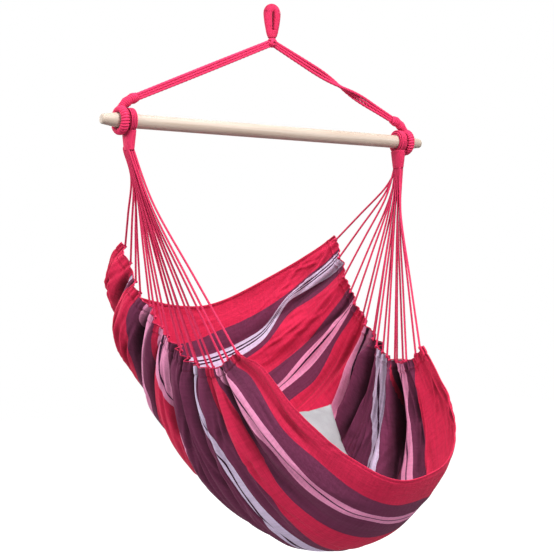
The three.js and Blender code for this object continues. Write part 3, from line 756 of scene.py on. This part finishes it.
# Quads between the neighbours in a grid of point numbers, and the numbers round its rim
def grid_quads(index):
    return np.stack([index[:-1, :-1], index[:-1, 1:], index[1:, 1:], index[1:, :-1]], -1).reshape(-1, 4)


def grid_rim(index):
    return np.concatenate([index[:, 0], index[-1, 1:], index[-2::-1, -1], index[0, -2:0:-1]])


def make_cloth():
    along, across, distance, points = hung_grid()
    side_share = smooth(along, 0.35, 0.65)
    edge = np.minimum(across, 1 - across) * CLOTH_WIDTH
    beside, lapped = lap_over(distance, across, side_share)
    out = (fold_out(distance, across, side_share) + wrinkle_out(along, across, distance)
           + seam_out(distance, edge, along) + lapped)
    width_way = unit(np.gradient(points, axis=0))
    points = points + outward(points) * out[..., None] + width_way * beside[..., None]
    hem = np.maximum(1 - smooth(distance, HEM_WIDTH - HEM_STEP, HEM_WIDTH + HEM_STEP),
                     1 - smooth(edge, LIP_HEM_WIDTH - HEM_STEP, LIP_HEM_WIDTH + HEM_STEP))
    half = outward(points) * (CLOTH_THICKNESS / 2) * (1 + HEM_SWELL * hem)[..., None]
    cut_place = cut_across(along[0], across[:, 0]) * CLOTH_WIDTH
    cut = np.stack(np.broadcast_arrays(along * CLOTH_LENGTH, cut_place), -1).reshape(-1, 2)
    index = np.arange(COLUMNS * ROWS).reshape(COLUMNS, ROWS)
    quads, rim = grid_quads(index), grid_rim(index)
    after = np.roll(rim, -1)
    sides = np.stack([rim, after, after + index.size, rim + index.size], -1)
    faces = np.concatenate([quads, quads[:, ::-1] + index.size, sides]).tolist()
    skins = np.stack([points + half, points - half]).reshape(-1, 3)
    cloth = make_object("seat_cloth_woven", skins, faces, cotton_stripes, np.concatenate([cut, cut]))
    return place(cloth, "seat", "striped_cloth", "seat_cloth"), points


cloth, cloth_points = make_cloth()
print("cloth", len(cloth.data.polygons), "faces")

# %% [markdown]
# A rope is a bundle of strands laid in a helix, so its section has a round lobe for each strand and
# turns as it goes along. The same sweep makes the plain round tubes that whippings are wound from.

# %% Ropes and windings
LOBE_DEPTH_SHARE = 0.17


def catmull(points, steps):
    points = [np.array(p, float) for p in points]
    points = [2 * points[0] - points[1], *points, 2 * points[-1] - points[-2]]
    line = []
    for p0, p1, p2, p3 in zip(points, points[1:], points[2:], points[3:]):
        for t in np.linspace(0, 1, steps, endpoint=False):
            line.append(0.5 * (2 * p1 + (p2 - p0) * t + (2 * p0 - 5 * p1 + 4 * p2 - p3) * t ** 2
                               + (3 * p1 - p0 - 3 * p2 + p3) * t ** 3))
    return np.array([*line, points[-2]])


def even_line(line, step):
    walked = walked_along(line)
    wanted = np.linspace(0, walked[-1], max(2, int(round(walked[-1] / step)) + 1))
    return points_at(line, walked, wanted), wanted


def full_turn(count):
    return np.linspace(0, 2 * np.pi, count, endpoint=False)


# Two directions square to a line and to each other at each of its points, without sudden turns
def carried_frames(line, closed=False):
    tangents = np.roll(line, -1, 0) - np.roll(line, 1, 0)
    if not closed:
        tangents[0], tangents[-1] = line[1] - line[0], line[-1] - line[-2]
    tangents = unit(tangents)
    normals = [unit(np.cross(tangents[0], [0, 1, 0] if abs(tangents[0][1]) < 0.9 else [1, 0, 0]))]
    for tangent in tangents[1:]:
        normals.append(unit(normals[-1] - tangent * np.dot(normals[-1], tangent)))
    return np.array(normals), np.cross(tangents, normals)


# Faces of a tube whose points lie in rings, with a cap at each end where it isn't closed on itself
def tube_faces(count, around, closed=False):
    index = np.arange(count * around).reshape(count, around)
    wrapped = np.concatenate([index, index[:, :1]], 1)
    if closed:
        return grid_quads(np.concatenate([wrapped, wrapped[:1]])).tolist()
    return [*grid_quads(wrapped).tolist(), index[0, ::-1].tolist(), index[-1].tolist()]


# A lobed section swept along a line. Returns its points and faces, to be joined with others.
def sweep(line, diameter, around, lobes=0, lay=1, walked=0, closed=False):
    normals, binormals = carried_frames(line, closed)
    turn = full_turn(around)
    spin = 2 * np.pi * walked / lay + np.zeros(len(line))
    angle = (turn + spin[:, None])[..., None]
    radius = diameter / 2 * (1 - LOBE_DEPTH_SHARE * (0.5 - 0.5 * np.cos(lobes * turn)))
    rings = line[:, None, :] + radius[:, None] * (
        np.cos(angle) * normals[:, None, :] + np.sin(angle) * binormals[:, None, :])
    return rings.reshape(-1, 3), tube_faces(len(line), around, closed)


def joined(sweeps):
    points, faces, base = [], [], 0
    for some_points, some_faces in sweeps:
        points.append(some_points)
        faces += [[base + k for k in face] for face in some_faces]
        base += len(some_points)
    return np.concatenate(points), faces


def rope(line, diameter, lay, step=1.6 * MM, lobes=3, around=12):
    even, walked = even_line(line, step)
    return sweep(even, diameter, around, lobes, lay, walked)


# A cord wound round a line as a whipping. width and depth are the wound section's, each a number or a
# function of the share along the line. side, where it is given, is the way that the width lies.
def winding(line, width, depth, yarn, pitch, steps, side=None):
    even, walked = even_line(line, 1 * MM)
    if side is None:
        normals, binormals = carried_frames(even)
    else:
        normals = np.tile(np.array(side, float), (len(even), 1))
        binormals = np.cross(unit(np.gradient(even, axis=0)), normals)
    turns = max(1, round(walked[-1] / pitch))
    share = np.linspace(0, 1, turns * steps + 1)
    angle = 2 * np.pi * turns * share
    coil = points_at(even, walked, share * walked[-1])
    for size, wave, way in ((width, np.cos(angle), normals), (depth, np.sin(angle), binormals)):
        reach = ((size(share) if callable(size) else size) - yarn) / 2
        coil = coil + (reach * wave)[:, None] * points_at(way, walked, share * walked[-1])
    return sweep(coil, yarn, 8)


# A plain round tube, such as the core that a winding goes round
def core(line, diameter, around, step=3 * MM):
    return sweep(even_line(line, step)[0], diameter, around)


def circle_round_bar(out, radius, count=160):
    angle = full_turn(count)
    return np.stack([np.full(count, out), radius * np.sin(angle), -BAR_DROP + radius * np.cos(angle)], -1)


# Joins sweeps into one piece of bare cord, or of whipping
def make_roped(name, sweeps, body, node):
    place(make_object(name, *joined(sweeps), cord_cotton), body, "rope", node)


def make_whipped(name, sweeps, body, node):
    place(make_object(name, *joined(sweeps), whip_cotton), body, "wrapping", node)


# %% [markdown]
# Spreader bar: a turned rod with shouldered, tapered ends, from a profile spun about its own axis.


# %% Spreader bar
BAR_LENGTH, BAR_TIP_RADIUS, BAR_SHOULDER_RADIUS = 1110 * MM, 14 * MM, 18.5 * MM
BAR_TAPER, BAR_ROUND = 40 * MM, 5 * MM
BAR_SIDES = 64


# Half of the profile, as (distance from the middle, radius) from the tip inward
def bar_profile():
    half = BAR_LENGTH / 2
    shoulder = half - BAR_TAPER
    profile = [(half, 0.1 * MM)]
    for angle in np.linspace(0, np.pi / 2, 7):
        profile.append((half - BAR_ROUND * (1 - math.cos(angle)),
                        BAR_TIP_RADIUS - BAR_ROUND * (1 - math.sin(angle))))
    profile += [(shoulder + BAR_ROUND, BAR_SHOULDER_RADIUS),
                (shoulder + BAR_ROUND / 2, BAR_SHOULDER_RADIUS + 0.6 * MM),
                (shoulder - BAR_ROUND / 2, BAR_RADIUS - 0.3 * MM), (shoulder - BAR_ROUND, BAR_RADIUS)]
    return profile + [(x, BAR_RADIUS) for x in np.linspace(shoulder - 2 * BAR_ROUND, 0, 24)]


def make_bar():
    profile = bar_profile()
    profile += [(-x, radius) for x, radius in reversed(profile[:-1])]
    x, radius = np.array(profile).T[..., None]
    angle = full_turn(BAR_SIDES)
    rings = np.stack([x + 0 * angle, radius * np.cos(angle), -BAR_DROP + radius * np.sin(angle)], -1)
    faces = [face[::-1] for face in tube_faces(len(profile), BAR_SIDES)]
    bar = make_object("spreader_bar_turned", rings.reshape(-1, 3), faces, pale_wood)
    return place(bar, "bar", "pale_wood", "spreader_bar")


bar = make_bar()
print("bar", len(bar.data.polygons), "faces")

# %% [markdown]
# The hem cord runs along each gathered edge, and the suspension cords are tied to it. The cords leave
# the neck under the bar as a tight bundle and fan out from it, each to its own place on the hem.

# %% Hem cords and suspension cords
CORD_LAY, HEM_CORD_LAY = 14 * MM, 11 * MM
BUNDLE_SHARE, SQUEEZE_SHARE = 0.28, 0.62
HITCH_YARN, HITCH_TURNS, HITCH_HALF_LENGTH = 3.6 * MM, 2, 2 * MM


def hem_line(side):
    edge, inside = (cloth_points[:, row] for row in ((0, 3) if side < 0 else (-1, -4)))
    return edge + unit(edge - inside) * (HEM_CORD_DIAMETER / 2 + CLEARANCE)


# The cords leave the neck in rows of three, and the bundle is squeezed to a waist before it fans out
def cord_line(side, number, hem, foot):
    row = (CORD_ROWS - 1) / 2 - number % CORD_ROWS
    back = ((CORDS - 1) / 2 - number) * CORD_PITCH / CORD_ROWS
    middle_top = np.array([side * CORD_EYE_OUT, 0, NECK_END])
    top = middle_top + [side * row * CORD_PITCH, back, 0]
    middle = middle_top + (hem[COLUMNS // 2] - middle_top) * BUNDLE_SHARE
    waist = top + (foot - top) * BUNDLE_SHARE
    waist[:2] = waist[:2] * SQUEEZE_SHARE + middle[:2] * (1 - SQUEEZE_SHARE)
    inside_neck = top + [0, 0, 12 * MM]
    return catmull([inside_neck, top, waist, (waist + foot) / 2, foot], 12)


# Two turns of the cord round the hem cord
def hitch_round_hem(hem, column):
    tangent = unit(hem[min(column + 2, COLUMNS - 1)] - hem[max(column - 2, 0)])
    beside = unit(np.cross(tangent, [0, 0, 1]))
    over = np.cross(beside, tangent)
    share = np.linspace(0, 1, 33)
    angle = 2 * np.pi * HITCH_TURNS * share
    reach = HEM_CORD_DIAMETER / 2 + 1.7 * MM
    coil = (hem[column] + np.outer(HITCH_HALF_LENGTH * (2 * share - 1), tangent)
            + reach * (np.outer(np.cos(angle), over) + np.outer(np.sin(angle), beside)))
    return sweep(coil, HITCH_YARN, 8)


def make_cords():
    for name, side in SIDES:
        hem = hem_line(side)
        hem_rope = rope(hem, HEM_CORD_DIAMETER, HEM_CORD_LAY, 1.5 * MM, around=10)
        make_roped(f"{name}_hem_rope", [hem_rope], "seat", f"{name}_hem_cord")
        for number in range(CORDS):
            label = f"{name}_cord_{number + 1:02d}"
            column = int(round((number + 0.5) / CORDS * (COLUMNS - 1)))
            laid = rope(cord_line(side, number, hem, hem[column]), CORD_DIAMETER, CORD_LAY)
            make_roped(f"{label}_laid", [laid, hitch_round_hem(hem, column)], "seat", label)


make_cords()
print("cords", 2 * CORDS)

# %% [markdown]
# Each suspension cord is folded over the bar, so the cord eye is a bundle of bare cords lying side by
# side round the wood, in three layers. Below the bar a tight oval whipping gathers them into the neck.

# %% Cord eyes and necks
EYE_CORD, EYE_CORD_LAY = 5.4 * MM, 15 * MM
# Where the cords of each layer lie beside the eye's middle, in mm
EYE_LAYERS = [(-9.6, -4.8, 0, 4.8, 9.6), (-9.6, -4.8, 4.8, 9.6), (-7.2, -2.4, 2.4, 7.2)]
NECK_YARN, NECK_PITCH, NECK_CORE_INSET = 3.4 * MM, 3 * MM, 3 * MM


def cord_eye_rings(side):
    rings = []
    for layer, places in enumerate(EYE_LAYERS):
        radius = BAR_RADIUS + CLEARANCE + EYE_CORD * (layer + 0.5)
        lay = 2 * np.pi * radius / round(2 * np.pi * radius / EYE_CORD_LAY)
        for k, x in enumerate(places):
            line = circle_round_bar(side * CORD_EYE_OUT + x * MM, radius - 0.2 * MM * (k % 2))
            walked = full_turn(len(line)) * radius
            rings.append(sweep(line, EYE_CORD, 10, 3, lay, walked, closed=True))
    return rings


def neck_width(share):
    return (32 - 9 * share) * MM


def neck_depth(share):
    return 2.1 * (30 - 8 * share) * MM


def neck_sweeps(side):
    top = -BAR_DROP - BAR_RADIUS - CORD_EYE_THICKNESS / 2
    line = np.array([[side * CORD_EYE_OUT, 0, z] for z in np.linspace(top, NECK_END + 2 * MM, 40)])
    whipping = winding(line, neck_width, neck_depth, NECK_YARN, NECK_PITCH, 40, (1, 0, 0))
    share, angle = np.linspace(0, 1, 12)[:, None], full_turn(32)
    inside = np.stack([side * CORD_EYE_OUT + (neck_width(share) / 2 - NECK_CORE_INSET) * np.cos(angle),
                       (neck_depth(share) / 2 - NECK_CORE_INSET) * np.sin(angle),
                       top + (NECK_END + 1 * MM - top) * share + 0 * angle], -1)
    return [whipping, (inside.reshape(-1, 3), tube_faces(12, 32))]


for name, side in SIDES:
    make_roped(f"{name}_cord_eye_bundle", cord_eye_rings(side), "seat", f"{name}_cord_eye")
    make_whipped(f"{name}_cord_neck_whipping", neck_sweeps(side), "seat", f"{name}_cord_neck")
print("cord eyes and necks done")

# %% [markdown]
# The bridle is three soft ropes a side. At the bar they end in an eye that is wound all the way round,
# so its turns stand out as ribs, and a wound throat leads up from it to the ropes.

# %% Bridle
THROAT_CENTRE = np.array([0, 0, -86.6 * MM])
THROAT_RADIUS = 14 * MM
STRAND_DIAMETER, STRAND_PITCH, STRAND_LAY = 9.2 * MM, 6.6 * MM, 70 * MM
# How far the ropes of the left and right leg spread halfway, and how far the right ones twist
STRAND_SPREAD = {-1: 0.8 * MM, 1: 3.4 * MM}
STRAND_TWIST = {-1: 0, 1: math.pi}
EYE_WIDTH, EYE_THICKNESS, EYE_RIBS, EYE_YARN = 26 * MM, 21 * MM, 28, 8 * MM
THROAT_IN, THROAT_RISE = 51 * MM, 68 * MM
THROAT_YARN, THROAT_PITCH, THROAT_CORE = 6.4 * MM, 5.6 * MM, 19 * MM
# The throat swells twice: the place of each swelling, and its height in mm
SWELLINGS, SWELLING_SHARE = [(0.42, 5), (0.78, 6)], 0.13


def leg_foot(side):
    return np.array([side * (BRIDLE_EYE_OUT - THROAT_IN), 0, -BAR_DROP + THROAT_RISE])


def strand_line(side, place_in_band):
    foot = leg_foot(side)
    way = unit(foot - THROAT_CENTRE)
    start = THROAT_CENTRE + way * (THROAT_RADIUS - 2 * MM)
    end = foot - way * 2 * MM
    lift = unit(np.cross(way, [0, side, 0]))
    share = np.linspace(0, 1, 60)
    apart = place_in_band * (STRAND_PITCH + STRAND_SPREAD[side] * np.sin(np.pi * share))
    turned = STRAND_TWIST[side] * smooth(share, 0.3, 0.9)
    return (start + np.outer(share, end - start) + np.outer(apart * np.cos(turned), lift)
            + np.outer(apart * np.sin(turned), [0, 1, 0]))


def throat_line(side):
    top = BAR_RADIUS + CLEARANCE + EYE_THICKNESS
    foot = leg_foot(side)
    return catmull([
        (side * BRIDLE_EYE_OUT, 0, -BAR_DROP + top - EYE_THICKNESS / 2),
        (side * (BRIDLE_EYE_OUT - THROAT_IN / 6), 0, -BAR_DROP + top + CLEARANCE),
        foot + unit(foot - THROAT_CENTRE) * THROAT_IN / 2, foot], 16)


def throat_width(share):
    swelling = sum(height * np.exp(-((share - place) / SWELLING_SHARE) ** 2) for place, height in SWELLINGS)
    return (24 + 2 * share + swelling) * MM


def bridle_eye_sweeps(side):
    middle = BAR_RADIUS + CLEARANCE + EYE_THICKNESS / 2
    ring = circle_round_bar(side * BRIDLE_EYE_OUT, middle, 264)
    pitch = 2 * np.pi * middle / EYE_RIBS
    ribs = winding(np.concatenate([ring, ring[:1]]), EYE_WIDTH, EYE_THICKNESS, EYE_YARN, pitch, 20, (1, 0, 0))
    return [ribs, sweep(ring, EYE_THICKNESS - 4 * MM, 20, closed=True)]


def throat_sweeps(side):
    line = throat_line(side)
    turns = winding(line, throat_width, throat_width, THROAT_YARN, THROAT_PITCH, 20)
    return [turns, core(line, THROAT_CORE, 14)]


for name, side in SIDES:
    for k, place_in_band in enumerate((-1, 0, 1)):
        strand = rope(strand_line(side, place_in_band), STRAND_DIAMETER, STRAND_LAY, 2.4 * MM, 5, 20)
        make_roped(f"{name}_bridle_rope_{k + 1}", [strand], "bridle", f"{name}_bridle_strand_{k + 1}")
    make_whipped(f"{name}_bridle_eye_wound", bridle_eye_sweeps(side), "bridle", f"{name}_bridle_eye")
    make_whipped(f"{name}_bridle_throat_wound", throat_sweeps(side), "bridle", f"{name}_bridle_throat")
print("bridle done")

# %% [markdown]
# Everything hangs from a small loop: a rope bent double, whipped all round against wear, and bound at
# its foot. Below that binding, a round knot lets the two legs of the bridle part.

# %% Hanging loop, neck and knot
LOOP_STRAND, LOOP_SLOT_WIDTH, LOOP_SLOT_LENGTH = 25 * MM, 5 * MM, 34 * MM
LOOP_NECK_TOP, LOOP_NECK_DIAMETER, LOOP_NECK_LENGTH = 52 * MM, 36 * MM, 20 * MM
LOOP_YARN, LOOP_PITCH, LOOP_CORE = 3 * MM, 2.6 * MM, 16 * MM
LOOP_NECK_YARN, LOOP_NECK_PITCH, LOOP_NECK_DEPTH, LOOP_NECK_CORE = 3.2 * MM, 2.7 * MM, 24 * MM, 20 * MM
KNOT_YARN, KNOT_CORE = 7 * MM, 20 * MM
# Each ring of the knot: its tilt and its turn in degrees
KNOT_RINGS = [(35, 0), (35, 120), (35, 240), (80, 60), (80, 150)]


def loop_line():
    arc = LOOP_SLOT_WIDTH / 2 + LOOP_STRAND / 2
    foot = 9.5 * MM
    leg = [(foot, -LOOP_NECK_TOP - 8 * MM), (foot + 1 * MM, -LOOP_NECK_TOP + 4 * MM),
           (foot + 3 * MM, -LOOP_SLOT_LENGTH + 2 * MM), (arc - 1 * MM, -18 * MM)]
    bow = [(-arc * math.cos(angle), -LOOP_SLOT_WIDTH / 2 + 1.15 * arc * math.sin(angle))
           for angle in np.linspace(0, math.pi, 9)]
    outline = [(-x, z) for x, z in leg] + bow + leg[::-1]
    return catmull([(x, 0, z) for x, z in outline], 10)


# The wound rope is thickest over the bow and thins toward its two feet
def loop_width(share):
    return (18 + 9 * np.maximum(np.sin(np.pi * share), 0) ** 0.7) * MM


# The binding of the neck thins toward its foot
def loop_neck_width(share):
    return LOOP_NECK_DIAMETER - 9 * MM * smooth(share, 0.45, 1)


def loop_sweeps():
    line = loop_line()
    turns = winding(line, loop_width, loop_width, LOOP_YARN, LOOP_PITCH, 20, (0, 1, 0))
    return [turns, core(line, LOOP_CORE, 16)]


def loop_neck_sweeps():
    top = -LOOP_NECK_TOP - CLEARANCE
    line = np.array([[0, 0, z] for z in np.linspace(top, top - LOOP_NECK_LENGTH, 20)])
    turns = winding(line, loop_neck_width, LOOP_NECK_DEPTH, LOOP_NECK_YARN, LOOP_NECK_PITCH, 28, (1, 0, 0))
    return [turns, sweep(line, LOOP_NECK_CORE, 28)]


def knot_sweeps():
    sweeps = [sweep(np.array([THROAT_CENTRE + [0, 0, z * MM] for z in (-11, -4, 4, 13)]), KNOT_CORE, 16)]
    angle = full_turn(48)
    ring = np.stack([np.cos(angle), np.sin(angle), 0 * angle], -1) * (THROAT_RADIUS - 2.6 * MM)
    for tilt, turn in KNOT_RINGS:
        spin = Matrix.Rotation(math.radians(turn), 3, "Z") @ Matrix.Rotation(math.radians(tilt), 3, "X")
        sweeps.append(sweep(THROAT_CENTRE + ring @ np.array(spin).T, KNOT_YARN, 10, closed=True))
    return sweeps


make_whipped("hanging_loop_whipped", loop_sweeps(), "loop", "hanging_loop")
make_whipped("loop_neck_binding", loop_neck_sweeps(), "loop", "loop_neck")
make_whipped("throat_knot_tied", knot_sweeps(), "throat", "throat_knot")
print("loop, neck and knot done")

# %% [markdown]
# The cushion leans back in the hollow. It is a square cotton cover over loose filling: full in the
# middle, drawn in along its sides, and thin at its corners, with a seam all round.

# %% Cushion
CUSHION_SIDE, CUSHION_THICKNESS = 385 * MM, 100 * MM
CUSHION_LEAN, CUSHION_TURN, CUSHION_TO_RIGHT = 0.86, 0.02, 24 * MM
SQUEEZE_SIDE_SHARE, DRAW_IN_SHARE, CROWN_POWER = 0.1, 0.11, 0.42
CELLS = 64
SEAM_DIAMETER = 3.4 * MM
BLOW_FRAMES, BLOW_PRESSURE, BLOW_LIMIT, BLOW_MESH = 20, 4.0, 26 * MM, 5 * MM
COVER_SETTINGS = {"quality": 6, "mass": 0.3, "tension_stiffness": 18, "compression_stiffness": 18,
                  "bending_stiffness": 0.4, "use_pressure": True, "uniform_pressure_force": BLOW_PRESSURE}


def cushion_sheet(face, share):
    u, v = np.meshgrid(share, share, indexing="ij")
    edge = np.maximum(1 - u * u, 0) * np.maximum(1 - v * v, 0)
    half = CUSHION_SIDE / 2
    return np.stack([
        half * u * (1 - DRAW_IN_SHARE * (1 - v * v)) * (1 + SQUEEZE_SIDE_SHARE * (v - 1)),
        half * v * (1 - DRAW_IN_SHARE * (1 - u * u)),
        face * (CUSHION_THICKNESS / 2) * edge ** CROWN_POWER], -1)


def get_points(piece):
    points = np.empty(len(piece.data.vertices) * 3)
    piece.data.vertices.foreach_get("co", points)
    return points.reshape(-1, 3)


def bake(piece):
    shape = bpy.data.meshes.new_from_object(piece.evaluated_get(bpy.context.evaluated_depsgraph_get()))
    piece.modifiers.clear()
    piece.data = shape


# Blows the sewn cover up from inside, so that its seams pucker as the filling rounds it
def blow_up(piece):
    remesh = piece.modifiers.new("even mesh", "REMESH")
    remesh.mode = "VOXEL"
    remesh.voxel_size = BLOW_MESH
    bake(piece)
    start = get_points(piece)
    cloth = piece.modifiers.new("blown", "CLOTH").settings
    for name, value in COVER_SETTINGS.items():
        setattr(cloth, name, value)
    cloth.effector_weights.gravity = 0
    for frame_number in range(1, BLOW_FRAMES + 1):
        bpy.context.scene.frame_set(frame_number)
    bake(piece)
    bpy.context.scene.frame_set(1)
    moved = get_points(piece) - start
    length = np.linalg.norm(moved, axis=1, keepdims=True)
    points = start + moved * np.minimum(1, BLOW_LIMIT / np.maximum(length, 1e-9))
    piece.data.vertices.foreach_set("co", points.ravel())
    piece.modifiers.new("smoother", "SUBSURF").levels = 1
    bake(piece)
    piece.data.shade_smooth()


def make_cushion():
    share = np.sin(np.pi / 2 * np.linspace(-1, 1, CELLS + 1))
    top, bottom = (cushion_sheet(face, share).reshape(-1, 3) for face in (1, -1))
    index = np.arange((CELLS + 1) ** 2).reshape(CELLS + 1, CELLS + 1)
    quads = grid_quads(index)[:, [0, 3, 2, 1]]
    faces = np.concatenate([quads, quads[:, ::-1] + index.size]).tolist()
    cushion = make_object("seat_cushion_cover", np.concatenate([top, bottom]), faces, undyed_cotton)
    cushion.modifiers.new("sewn", "WELD").merge_threshold = 0.05 * MM
    bake(cushion)
    blow_up(cushion)
    points = get_points(cushion)
    # The seam follows the points of the cover that lie nearest to the rim of its cut
    nearest = np.array([points[np.argmin(((points - spot) ** 2).sum(1))] for spot in top[grid_rim(index)]])
    seam = core(np.concatenate([nearest, nearest[:1]]), SEAM_DIAMETER, 8, 4 * MM)
    tilt = np.array(Matrix.Rotation(CUSHION_LEAN, 3, "X") @ Matrix.Rotation(CUSHION_TURN, 3, "Z")).T
    turned = points @ tilt
    shift = np.mean(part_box("seat_cushion"), 0) - (turned.min(0) + turned.max(0)) / 2
    shift[0] += CUSHION_TO_RIGHT
    cushion.data.vertices.foreach_set("co", (turned + shift).ravel())
    cushion.data.update()
    piping = make_object("seat_cushion_seam", seam[0] @ tilt + shift, seam[1], undyed_cotton)
    place(piping, "cushion", "cushion_cover", "seat_cushion")
    place(cushion, "cushion", "cushion_cover", "seat_cushion")
    return cushion


cushion = make_cushion()
print("cushion", len(cushion.data.polygons), "faces")
